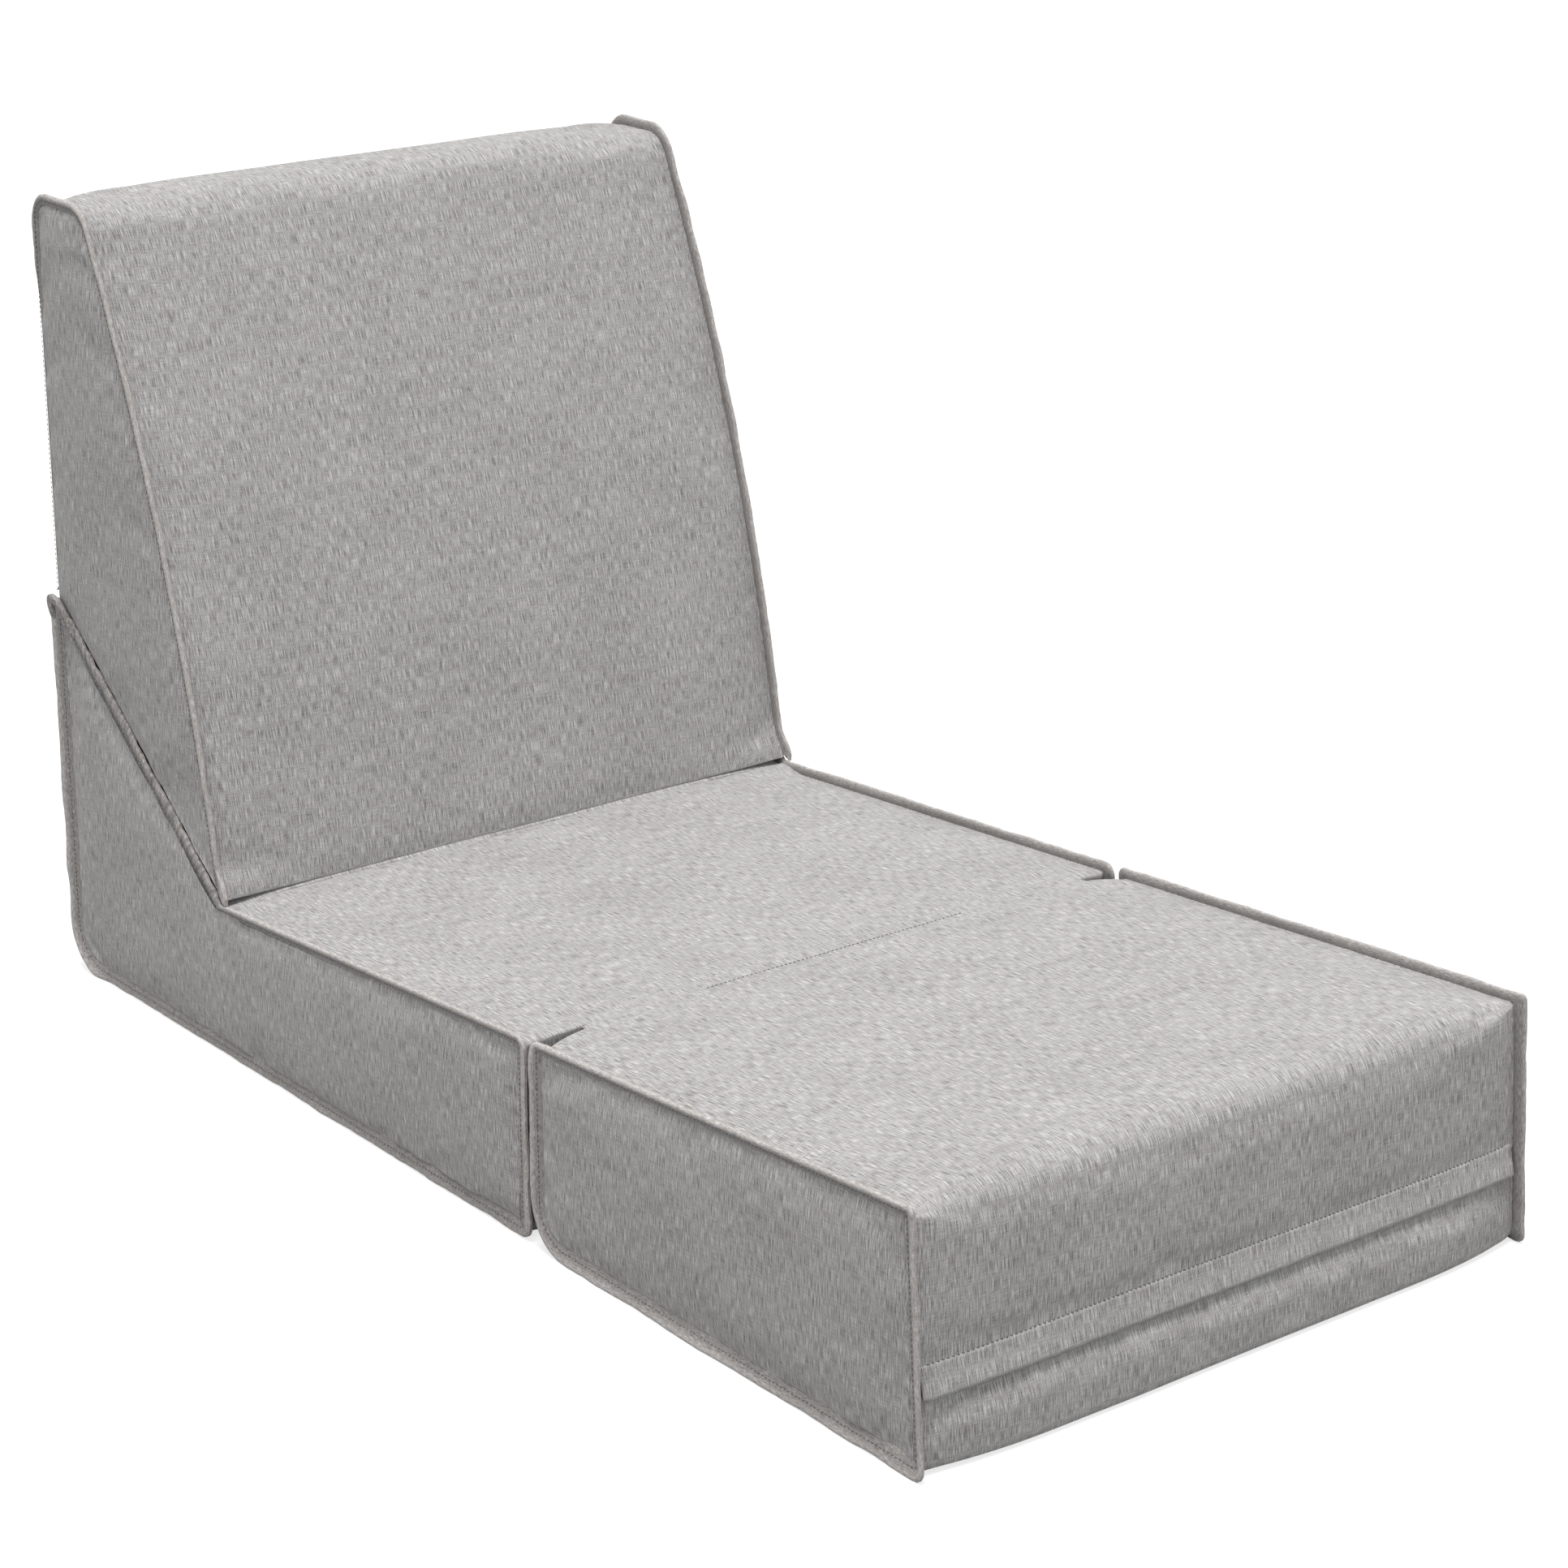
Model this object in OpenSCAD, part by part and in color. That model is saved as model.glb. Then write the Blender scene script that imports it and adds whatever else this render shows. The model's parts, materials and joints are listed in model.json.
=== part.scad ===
/* [Chair] */
// Width over the side seams
chair_w = 660; // [560:5:760]
// Height of the seat at the fold line
fold_h = 188; // [150:1:230]
// Slope of the seat, which rises towards the foot end, in degrees
seat_rise = 4; // [0:0.5:6]
// Depth of the seat from the fold line to the backrest
seat_depth = 497; // [440:1:560]
// Depth of the base from the fold line to its rear
base_depth = 794; // [720:1:860]
// Height of the rear hinge above the floor
hinge_h = 390; // [340:1:440]
// Space between the two blocks at the fold
fold_gap = 6; // [4:1:14]
// How much longer the footrest is than the seat it folds on to, taken up by the rounded corners
footrest_more = 2; // [-30:1:2]

/* [Backrest] */
// Depth of the backrest at its top
back_top_d = 95; // [70:1:130]
// How far the backrest's rear lies in front of the base's rear
back_setback = 7; // [6:1:16]
// Bow of the backrest's front
back_bow = 23; // [5:1:34]

/* [Covers] */
// Height of the sewn welt round each side
welt_h = 10; // [6:1:14]
// Thickness of the welt
welt_t = 5; // [3:0.5:7]
// Depth of the stitched foot of the welt, below its free edge
seam_h = 12; // [11:1:16]
// Thickness of the cover with its fibre wadding
wall = 3; // [2:0.5:3.5]
// Puff of each side panel
side_puff = 3.5; // [0:0.5:6]
// Exponent of the crown across the width, where more is flatter
crown_power = 4; // [2:1:8]

/* [Corners] */
// Radius at the foot end's top
foot_top_r = 12; // [8:1:20]
// Radius at the foot end's bottom
foot_low_r = 22; // [14:1:40]
// Radius at the bottom on the footrest's side of the fold
fold_low_r = 45; // [20:1:70]
// Radius at the bottom on the base's side of the fold
base_front_r = 14; // [10:1:40]
// Radius at the top on both sides of the fold
fold_top_r = 12; // [8:1:20]
// Radius at the base's rear bottom
base_rear_r = 45; // [20:1:70]
// Radius of the backrest's tip, where it meets the seat
tip_r = 14; // [10:1:20]
// Radius at the backrest's top front
back_front_r = 24; // [14:1:34]
// Radius at the backrest's top rear
back_rear_r = 14; // [10:1:24]
// Radius of the soft unseamed fold over the foot end, at mid width
soft_foot_r = 26; // [12:1:40]
// Radius of the foot end's soft lower edge, at mid width
soft_low_r = 34; // [14:1:60]
// Radius of the soft unseamed fold over the backrest's top, at mid width
soft_back_r = 36; // [20:1:42]
// Radius of the backrest's soft top rear edge, at mid width
soft_rear_r = 24; // [14:1:34]

/* [Zips] */
// Height of the flap over each zip
flap_h = 27; // [22:1:36]
// Thickness of the flap
flap_t = 1.6; // [1:0.1:2]
// Height of the slot in the cover that the zip closes
slot_h = 16; // [14:1:20]
// Width of the zip's closed teeth
chain_w = 5.2; // [4:0.1:6]
// Thickness of the zip's teeth
chain_t = 2; // [1.6:0.1:2.4]
// Thickness of the zip's tape
tape_t = 0.8; // [0.5:0.1:1]
// Length of the slider
slider_l = 12; // [9:1:16]
// Height of the foot end's flap above the floor, at its stitched top
foot_flap_z = 89; // [75:1:110]
// Height of the base's flap above the floor, at its stitched top
base_flap_z = 115; // [100:1:160]
// Height of the backrest's flap above the hinge, at its stitched top
back_flap_z = 95; // [80:1:140]

/* [Hidden] */

// Clearance between two soft faces of one block
fit = 0.2;
// Clearance between faces of two blocks
rest_gap = 0.3;
// Height of each hinge axis over the faces that it brings together
axis_lift = 0.25;
// Radius of the sewn bead on each hinge line
bead_r = 1.5;
// Length of the sewn bead on the fold, as a share of the width
bead_share = 0.45;
// Length of the rear hinge's bead, as a share of the width
rear_bead_share = 0.6;
// Distance of the rear hinge's axis from the base's sharp rear edge
hinge_in = 3;
// Height of the strips that sew the covers to the rear hinge
hinge_tape_h = 24;
// Thickness of those strips
hinge_tape_t = 1.5;
// Space under the backrest's top when it is flipped down to the floor
floor_gap = 1.2;
// Smallest radius in an outline
edge_r = 1;
// Radius of the covers' corners at the side seams
cover_r = 4;
// Radius of the side panels' corners
rim_r = 3;
// How far the rear faces lie inside the welts' rear, at mid width
rear_in = 2;
// How far the foot face lies inside the welts' front, at mid width
foot_in = 3;
// How far the backrest's top swells over its welts, at mid width
top_swell = 2;
// Straight run at each end of the backrest's bowed front, as a share of its length
bow_run_share = 0.09;
// Inset of a side panel's rim, inside the foot of its welt
rim_in = seam_h + fit;

half_w = chair_w / 2;
cover_x = half_w - welt_t;
z_tip = fold_h - seat_depth * tan(seat_rise);
slope_dir = [base_depth - seat_depth, hinge_h - z_tip] / norm([base_depth - seat_depth, hinge_h - z_tip]);
slope_up = [-slope_dir[1], slope_dir[0]];
footrest_len = seat_depth / cos(seat_rise) + footrest_more;
foot_down = [-sin(seat_rise), -cos(seat_rise)];
foot_top = [-footrest_len * cos(seat_rise), fold_h + footrest_len * sin(seat_rise)];
foot_low = foot_top + foot_down * foot_top[1] / cos(seat_rise);
foot_turn = 90 + seat_rise;
foot_reach = -foot_low[0] - foot_low_r * (tan(foot_turn / 2) - 1);
// The fold line's place along Y, with the chair centred on its length
fold_y = (foot_reach - base_depth) / 2;
fold_axis = [0, fold_h + axis_lift];
rear_axis = [base_depth, hinge_h] - slope_dir * hinge_in + slope_up * axis_lift;
back_top_z = 2 * rear_axis[1] - top_swell - floor_gap;
back_rear_y = base_depth - back_setback;

// Two-dimensional helpers in the side view: Y to the right and Z up
function unit(v) = v / norm(v);
function left_of(v) = [-v[1], v[0]];
function right_of(v) = [v[1], -v[0]];
function crossed(a, b) = a[0] * b[1] - a[1] * b[0];
function turned(v, a) = [v[0] * cos(a) - v[1] * sin(a), v[0] * sin(a) + v[1] * cos(a)];

// Corner i of an outline whose edges are moved inwards by their own insets
function inset_corner(p, d, i) =
    let (n = len(p), h = (i + n - 1) % n)
    let (u = unit(p[i] - p[h]), v = unit(p[(i + 1) % n] - p[i]))
    let (a = left_of(u) * d[h], b = left_of(v) * d[i])
    p[i] + a + u * crossed(b - a, v) / crossed(u, v);

function inset_corners(p, d) = [for (i = [0 : len(p) - 1]) inset_corner(p, d, i)];

function turn_at(p, i) =
    let (n = len(p))
    let (u = unit(p[i] - p[(i + n - 1) % n]), v = unit(p[(i + 1) % n] - p[i]))
    atan2(crossed(u, v), u * v);

// The arc at corner i as points with their outward normals
function corner_arc(p, r, k, i) =
    let (n = len(p), a = turn_at(p, i), side = a > 0 ? 1 : -1)
    let (u = unit(p[i] - p[(i + n - 1) % n]))
    let (first = p[i] - u * r * tan(abs(a) / 2))
    let (centre = first + left_of(u) * r * side)
    [for (j = [0 : k])
        let (spoke = turned(first - centre, a * j / k))
        concat(centre + spoke, unit(spoke) * side)];

// Points between the arcs of two corners, at the shares in list s
function edge_points(a, b, s) =
    let (n = right_of(unit([b[0] - a[0], b[1] - a[1]])))
    [for (t = s) [a[0] + (b[0] - a[0]) * t[0], a[1] + (b[1] - a[1]) * t[0], n[0], n[1]]];

// A closed outline: rounded corners p with insets d, radii r, arc steps k and edge shares s
function outline(p, d, r, k, s) =
    let (c = inset_corners(p, d), n = len(p))
    let (arcs = [for (i = [0 : n - 1]) corner_arc(c, r[i], k[i], i)])
    [for (i = [0 : n - 1])
        for (q = concat(arcs[i], edge_points(arcs[i][k[i]], arcs[(i + 1) % n][0], s[i]))) q];

// Share along the edge after corner i at which a point of the face lies
function share_at(p, d, r, k, i, point) =
    let (c = inset_corners(p, d), n = len(p))
    let (a = corner_arc(c, r[i], k[i], i)[k[i]], b = corner_arc(c, r[(i + 1) % n], k[(i + 1) % n], (i + 1) % n)[0])
    let (from = [a[0], a[1]], to = [b[0], b[1]])
    ((point - from) * (to - from)) / ((to - from) * (to - from));

// Crown share of each point of an outline
function crowns(k, s) = [for (i = [0 : len(k) - 1]) for (q = concat([for (j = [0 : k[i]]) 1], [for (t = s[i]) t[1]])) q];

// Place of corner i's first point in an outline's list
function place_of(k, s, i) = i <= 0 ? 0 : place_of(k, s, i - 1) + k[i - 1] + 1 + len(s[i - 1]);

function yz(q) = [for (p = q) [p[0], p[1]]];

// Evenly spread shares of a plain edge, all fully crowned
plain_shares = [[0.25, 1], [0.5, 1], [0.75, 1]];
// Where the width is sampled, as shares of half the width
station_shares = [-1, -0.97, -0.9, -0.78, -0.6, -0.32, 0, 0.32, 0.6, 0.78, 0.9, 0.97, 1];
function crown(u) = 1 - pow(abs(u), crown_power);

// Zips: distances down the face from the flap's stitched top, and out of the face
slot_top = (flap_h - slot_h) / 2;
slot_low = slot_top + slot_h;
slot_mid = slot_top + slot_h / 2;
// Reach above and below the flap over which the cover swells again
swell = 30;
tape_floor = -wall + fit;
slider_lap = 1.8;
slider_w = chain_w + 2 * slider_lap;
slider_wall = 1.5;
slider_plate = 1.4;
flap_rise = 2.8;
flap_ramp = 7;
zip_end = 7;
zip_half = cover_x - zip_end;
stop_l = 6;
travel = zip_half - stop_l - slider_l - rest_gap;

foot_zip = foot_top + foot_down * (foot_top[1] - foot_flap_z) / cos(seat_rise);
base_zip = [base_depth, base_flap_z];
back_zip = [back_rear_y, hinge_h + back_flap_z];

// Seat base: bottom front, bottom rear, rear top, tip of the backrest, top at the fold
base_pts = [
    [fold_gap / 2, 0],
    [base_depth, 0],
    [base_depth, hinge_h],
    [seat_depth, z_tip],
    [fold_gap / 2, fold_h - tan(seat_rise) * fold_gap / 2]
];
base_k = [4, 4, 3, 1, 3];
base_edge_d = [0, welt_h, welt_h, welt_h, welt_h];
base_mid_d = [0, rear_in, rest_gap, rest_gap, axis_lift + bead_r - fold_gap / 2];
base_edge_r = [base_front_r - cover_r, base_rear_r - welt_h, cover_r, edge_r, cover_r];
base_mid_r = [base_front_r, base_rear_r, rim_r, edge_r, edge_r];
base_flat_r = [base_front_r, base_rear_r, rim_r, edge_r, fold_top_r];
function zip_shares(p, d, r, k, i, o, down, rising) =
    let (at = [for (s = [-swell, 0, slot_top, slot_low, flap_h + swell]) share_at(p, d, r, k, i, o + down * s)])
    let (c = [1, 0, 0, 0, 1])
    rising ? [for (j = [4 : -1 : 0]) [at[j], c[j]]] : [for (j = [0 : 4]) [at[j], c[j]]];
base_s = [plain_shares,
    zip_shares(base_pts, base_edge_d, base_edge_r, base_k, 1, base_zip, [0, -1], true),
    plain_shares, plain_shares, plain_shares];

// Footrest: bottom at the foot, bottom at the fold, top at the fold, top at the foot
foot_pts = [
    foot_low,
    [-fold_gap / 2, 0],
    [-fold_gap / 2, fold_h + tan(seat_rise) * fold_gap / 2],
    foot_top
];
foot_k = [4, 4, 3, 4];
foot_edge_d = [0, welt_h, welt_h, welt_h];
foot_mid_d = [0, axis_lift + bead_r - fold_gap / 2, rest_gap, foot_in];
foot_edge_r = [foot_low_r - welt_h, fold_low_r - welt_h, cover_r, cover_r];
foot_mid_r = [soft_low_r, fold_low_r, edge_r, soft_foot_r];
foot_flat_r = [foot_low_r, fold_low_r, fold_top_r, foot_top_r];
foot_s = [plain_shares, plain_shares, plain_shares,
    zip_shares(foot_pts, foot_edge_d, foot_edge_r, foot_k, 3, foot_zip, foot_down, false)];

// Backrest: tip, rear at the hinge, top rear, top front, and the bow of its front
back_tip = [seat_depth, z_tip] + slope_up * rest_gap;
back_low = [back_rear_y, back_tip[1] + (back_rear_y - back_tip[0]) * slope_dir[1] / slope_dir[0]];
back_front_top = [back_rear_y - back_top_d, back_top_z];
back_chord = back_tip - back_front_top;
bow_peak = back_bow / (1 / 2 + bow_run_share);
back_pts = [
    back_tip,
    back_low,
    [back_rear_y, back_top_z],
    back_front_top,
    back_front_top + back_chord / 2 + right_of(unit(back_chord)) * bow_peak
];
bow_r = norm(back_chord) * (1 / 2 - bow_run_share) / (2 * bow_peak / norm(back_chord));
back_k = [4, 3, 4, 4, 6];
back_edge_d = [0, welt_h, welt_h, welt_h, welt_h];
back_mid_d = [0, rear_in, -top_swell, rest_gap, rest_gap];
back_edge_r = [cover_r, cover_r, cover_r, back_front_r - welt_h, bow_r];
back_mid_r = [tip_r, cover_r, soft_rear_r, soft_back_r, bow_r];
back_flat_r = [tip_r, cover_r, back_rear_r, back_front_r, bow_r];
back_s = [plain_shares,
    zip_shares(back_pts, back_edge_d, back_edge_r, back_k, 1, back_zip, [0, -1], true),
    [[0.5, 1]], [], []];

// Cover from place a to place b of an outline, crowned between its edge and mid-width forms
module cover_strip(edge, mid, share, a, b) {
    n = len(edge);
    m = len(station_shares) - 1;
    rows = b - a;
    outer = [for (i = [a : b]) for (u = station_shares)
        let (e = edge[i % n], f = mid[i % n], c = share[i % n] * crown(u))
        [u * cover_x, e[0] + (f[0] - e[0]) * c, e[1] + (f[1] - e[1]) * c]];
    inner = [for (i = [a : b]) for (u = [-1, 1])
        let (e = edge[i % n])
        [u * cover_x, e[0] - e[2] * wall, e[1] - e[3] * wall]];
    w = m + 1;
    q = len(outer);
    faces = concat(
        [for (i = [0 : rows - 1]) for (j = [0 : m - 1]) [i * w + j, i * w + j + 1, (i + 1) * w + j + 1]],
        [for (i = [0 : rows - 1]) for (j = [0 : m - 1]) [i * w + j, (i + 1) * w + j + 1, (i + 1) * w + j]],
        [for (i = [0 : rows - 1]) [q + 2 * i, q + 2 * i + 2, q + 2 * i + 3]],
        [for (i = [0 : rows - 1]) [q + 2 * i, q + 2 * i + 3, q + 2 * i + 1]],
        [for (i = [0 : rows - 1]) [i * w, (i + 1) * w, q + 2 * i + 2]],
        [for (i = [0 : rows - 1]) [i * w, q + 2 * i + 2, q + 2 * i]],
        [for (i = [0 : rows - 1]) [i * w + m, q + 2 * i + 3, (i + 1) * w + m]],
        [for (i = [0 : rows - 1]) [i * w + m, q + 2 * i + 1, q + 2 * i + 3]],
        [for (j = [0 : m - 1]) [q, j + 1, j]],
        [[q, q + 1, m]],
        [for (j = [0 : m - 1]) [q + 2 * rows, rows * w + j, rows * w + j + 1]],
        [[q + 2 * rows, rows * w + m, q + 2 * rows + 1]]
    );
    translate([0, fold_y, 0]) polyhedron(concat(outer, inner), faces);
}

// Rings of a side panel, as shares of its outline and of its puff
ring_shares = [[1, 0], [0.95, 0.45], [0.84, 0.8], [0.6, 1]];

// Side panel over an outline, puffed out round a centre, on the right side
module side_panel(rim, centre) {
    n = len(rim);
    rings = len(ring_shares);
    x0 = cover_x + fit;
    back = [for (p = rim) [x0, p[0], p[1]]];
    front = [for (r = ring_shares) for (p = rim)
        let (s = centre + ([p[0], p[1]] - centre) * r[0])
        [x0 + wall + side_puff * r[1], s[0], s[1]]];
    last = n * (rings + 1);
    faces = concat(
        [for (i = [0 : n - 1]) [i, (i + 1) % n, last]],
        [for (i = [0 : n - 1]) [i, n + (i + 1) % n, (i + 1) % n]],
        [for (i = [0 : n - 1]) [i, n + i, n + (i + 1) % n]],
        [for (k = [1 : rings - 1]) for (i = [0 : n - 1])
            [n * k + i, n * (k + 1) + (i + 1) % n, n * k + (i + 1) % n]],
        [for (k = [1 : rings - 1]) for (i = [0 : n - 1])
            [n * k + i, n * (k + 1) + i, n * (k + 1) + (i + 1) % n]],
        [for (i = [0 : n - 1]) [n * rings + i, last + 1, n * rings + (i + 1) % n]]
    );
    points = concat(back, front, [
        [x0, centre[0], centre[1]],
        [x0 + wall + side_puff, centre[0], centre[1]]
    ]);
    translate([0, fold_y, 0]) polyhedron(points, faces);
}

// A side-view outline drawn out along X from a to b
module across(a, b) {
    translate([a, fold_y, 0]) rotate([90, 0, 90]) linear_extrude(b - a) children();
}

// Foam block of an outline, just inside its cover
module foam_block(p, d, r, k, s) {
    inner = [for (e = d) e + wall + fit];
    across(fit - cover_x, cover_x - fit) polygon(yz(outline(p, inner, r, k, s)));
}

// Welt all round a side, on the right
module closed_welt(p, r, k, s, foot) {
    across(cover_x + fit, half_w) difference() {
        polygon(yz(outline(p, [for (e = p) 0], r, k, s)));
        polygon(yz(outline(p, [for (e = p) seam_h], foot, k, s)));
    }
}

// Places on a zip's face: s down from the flap's stitched top, h out of the recessed cover
function on_face(o, down, out, q) = [for (p = q) o + down * p[0] + out * (p[1] - welt_h)];

module zip_flap(o, down, out) {
    lift = flap_rise + flap_t;
    across(fit - cover_x, cover_x - fit) polygon(on_face(o, down, out, [
        [0, fit], [slot_top - fit, fit], [flap_ramp, flap_rise], [flap_h, flap_rise],
        [flap_h, lift], [flap_ramp - flap_t, lift], [0, flap_t + fit]
    ]));
}

module zip_tapes(o, down, out) {
    gap = chain_w / 2 + fit;
    for (span = [[slot_top + fit, slot_mid - gap], [slot_mid + gap, slot_low - fit]])
        across(-zip_half, zip_half) polygon(on_face(o, down, out, [
            [span[0], tape_floor], [span[1], tape_floor],
            [span[1], tape_floor + tape_t], [span[0], tape_floor + tape_t]
        ]));
}

module zip_teeth(o, down, out) {
    reach = zip_half - stop_l - fit;
    low = slot_mid - chain_w / 2;
    high = slot_mid + chain_w / 2;
    bevel = chain_t / 4;
    across(-reach, reach) polygon(on_face(o, down, out, [
        [low, tape_floor], [high, tape_floor], [high, tape_floor + chain_t - bevel],
        [high - bevel, tape_floor + chain_t], [low + bevel, tape_floor + chain_t],
        [low, tape_floor + chain_t - bevel]
    ]));
}

module zip_stops(o, down, out) {
    low = slot_mid - chain_w / 2;
    high = slot_mid + chain_w / 2;
    for (x = [-zip_half, zip_half - stop_l])
        across(x, x + stop_l) polygon(on_face(o, down, out, [
            [low, tape_floor], [high, tape_floor],
            [high, tape_floor + chain_t + slider_plate], [low, tape_floor + chain_t + slider_plate]
        ]));
}

// Slider parked at the right end of its zip: a channel over the teeth, and a lug on it
module zip_slider(o, down, out) {
    low = slot_mid - slider_w / 2;
    high = slot_mid + slider_w / 2;
    under = tape_floor + chain_t + rest_gap;
    skirt = tape_floor + tape_t + rest_gap;
    top = under + slider_plate;
    lug = slider_l / 4;
    across(travel, travel + slider_l) polygon(on_face(o, down, out, [
        [low, skirt], [low + slider_wall, skirt], [low + slider_wall, under],
        [high - slider_wall, under], [high - slider_wall, skirt], [high, skirt],
        [high, top], [low, top]
    ]));
    across(travel + lug, travel + slider_l - lug) polygon(on_face(o, down, out, [
        [slot_mid - slider_wall, top], [slot_mid + slider_wall, top],
        [slot_mid + slider_wall / 2, top + slider_wall / 2], [slot_mid - slider_wall / 2, top + slider_wall / 2]
    ]));
}

// Outlines of the three blocks, at the side seams and at mid width
base_edge = outline(base_pts, base_edge_d, base_edge_r, base_k, base_s);
base_mid = outline(base_pts, base_mid_d, base_mid_r, base_k, base_s);
base_crowns = crowns(base_k, base_s);
foot_edge = outline(foot_pts, foot_edge_d, foot_edge_r, foot_k, foot_s);
foot_mid = outline(foot_pts, foot_mid_d, foot_mid_r, foot_k, foot_s);
foot_crowns = crowns(foot_k, foot_s);
back_edge = outline(back_pts, back_edge_d, back_edge_r, back_k, back_s);
back_mid = outline(back_pts, back_mid_d, back_mid_r, back_k, back_s);
back_crowns = crowns(back_k, back_s);

// Insets and radii of the side panels' rims, and of the welts' feet
base_rim_d = [for (e = base_pts) rim_in];
foot_rim_d = [for (e = foot_pts) rim_in];
base_rim_r = [cover_r, base_rear_r - seam_h, rim_r, edge_r, rim_r];
foot_rim_r = [cover_r, fold_low_r - seam_h, rim_r, rim_r];
back_foot_r = [edge_r, rim_r, rim_r, back_front_r - seam_h, bow_r];

// The backrest's side panel reaches its slope between the two ends of the welt
tip_slope = tan(turn_at(back_pts, 0) / 2);
tip_run = tip_slope * max(tip_r, rim_in + edge_r) + 2 * edge_r;
back_rim = inset_corners(back_pts, [for (e = back_pts) rim_in]);
back_panel_pts = [
    back_tip + slope_dir * tip_run,
    back_low - slope_dir * rim_in / slope_dir[0],
    back_rim[2],
    back_rim[3],
    back_rim[4],
    back_rim[0],
    back_tip + slope_dir * tip_run + slope_up * rim_in
];
back_panel_k = [1, 1, 3, 4, 6, 1, 1];
back_panel_r = [edge_r, edge_r, rim_r, back_front_r - seam_h, bow_r, edge_r, edge_r];
back_panel_s = [plain_shares, plain_shares, [[0.5, 1]], [], [], [], []];

base_centre = [seat_depth, z_tip / 2];
foot_centre = [foot_low[0] / 2, fold_h / 2];
back_centre = (back_tip + 2 * back_low + back_pts[2] + back_front_top) / 5;

// Places where the covers are sewn together
base_front_seam = place_of(base_k, base_s, 0) + 2;
base_tip_seam = place_of(base_k, base_s, 3) + 1;
base_slot_low = place_of(base_k, base_s, 1) + base_k[1] + 2;
base_slot_top = base_slot_low + 1;
foot_fold_seam = place_of(foot_k, foot_s, 2);
foot_slot_top = place_of(foot_k, foot_s, 3) + foot_k[3] + 3;
foot_slot_low = foot_slot_top + 1;
back_tip_seam = place_of(back_k, back_s, 0) + back_k[0];
back_slot_low = place_of(back_k, back_s, 1) + back_k[1] + 2;
back_slot_top = back_slot_low + 1;

foam_colour = [0.93, 0.89, 0.74];
cover_colour = [0.76, 0.75, 0.74];
side_colour = [0.66, 0.66, 0.65];
welt_colour = [0.58, 0.57, 0.55];
tape_colour = [0.45, 0.45, 0.45];
brass_colour = [0.72, 0.58, 0.30];

module seat_foam() {
    color(foam_colour)
        foam_block(base_pts, base_edge_d, base_edge_r, base_k, base_s);
}
module seat_top_cover() {
    color(cover_colour)
        cover_strip(base_edge, base_mid, base_crowns, base_tip_seam, len(base_edge) + base_front_seam);
}
module wedge_cover() {
    color(cover_colour) cover_strip(base_edge, base_mid, base_crowns, base_slot_top, base_tip_seam - 1);
}
module seat_bottom_cover() {
    color(side_colour) cover_strip(base_edge, base_mid, base_crowns, base_front_seam, base_slot_low);
}
module seat_side_right() {
    color(side_colour) side_panel(outline(base_pts, base_rim_d, base_rim_r, base_k, base_s), base_centre);
}
module seat_side_left() {
    mirror([1, 0, 0]) seat_side_right();
}
module seat_welt_right() {
    color(welt_colour) closed_welt(base_pts, base_flat_r, base_k, base_s, base_rim_r);
}
module seat_welt_left() {
    mirror([1, 0, 0]) seat_welt_right();
}
module seat_zip_flap() {
    color(cover_colour) zip_flap(base_zip, [0, -1], [1, 0]);
}
module seat_zip_tapes() {
    color(tape_colour) zip_tapes(base_zip, [0, -1], [1, 0]);
}
module seat_zip_teeth() {
    color(tape_colour) zip_teeth(base_zip, [0, -1], [1, 0]);
}
module seat_zip_stops() {
    color(tape_colour) zip_stops(base_zip, [0, -1], [1, 0]);
}
module seat_zip_slider() {
    color(brass_colour) zip_slider(base_zip, [0, -1], [1, 0]);
}

module footrest_foam() {
    color(foam_colour)
        foam_block(foot_pts, foot_edge_d, foot_edge_r, foot_k, foot_s);
}
module footrest_top_cover() {
    color(cover_colour) cover_strip(foot_edge, foot_mid, foot_crowns, foot_fold_seam, foot_slot_top);
}
module footrest_bottom_cover() {
    color(side_colour)
        cover_strip(foot_edge, foot_mid, foot_crowns, foot_slot_low, len(foot_edge) + foot_fold_seam);
}
module footrest_side_right() {
    color(side_colour) side_panel(outline(foot_pts, foot_rim_d, foot_rim_r, foot_k, foot_s), foot_centre);
}
module footrest_side_left() {
    mirror([1, 0, 0]) footrest_side_right();
}
module footrest_welt_right() {
    color(welt_colour) closed_welt(foot_pts, foot_flat_r, foot_k, foot_s, foot_rim_r);
}
module footrest_welt_left() {
    mirror([1, 0, 0]) footrest_welt_right();
}
module footrest_zip_flap() {
    color(cover_colour) zip_flap(foot_zip, foot_down, right_of(foot_down));
}
module footrest_zip_tapes() {
    color(tape_colour) zip_tapes(foot_zip, foot_down, right_of(foot_down));
}
module footrest_zip_teeth() {
    color(tape_colour) zip_teeth(foot_zip, foot_down, right_of(foot_down));
}
module footrest_zip_stops() {
    color(tape_colour) zip_stops(foot_zip, foot_down, right_of(foot_down));
}
module footrest_zip_slider() {
    color(brass_colour) zip_slider(foot_zip, foot_down, right_of(foot_down));
}

module backrest_foam() {
    color(foam_colour)
        foam_block(back_pts, back_edge_d, back_edge_r, back_k, back_s);
}
module backrest_front_cover() {
    color(cover_colour)
        cover_strip(back_edge, back_mid, back_crowns, back_slot_top, len(back_edge) + back_tip_seam);
}
module backrest_lower_cover() {
    color(side_colour) cover_strip(back_edge, back_mid, back_crowns, back_tip_seam, back_slot_low);
}
module backrest_side_right() {
    flat = [for (e = back_panel_pts) 0];
    rim = outline(back_panel_pts, flat, back_panel_r, back_panel_k, back_panel_s);
    color(side_colour) side_panel(rim, back_centre);
}
module backrest_side_left() {
    mirror([1, 0, 0]) backrest_side_right();
}
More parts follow.
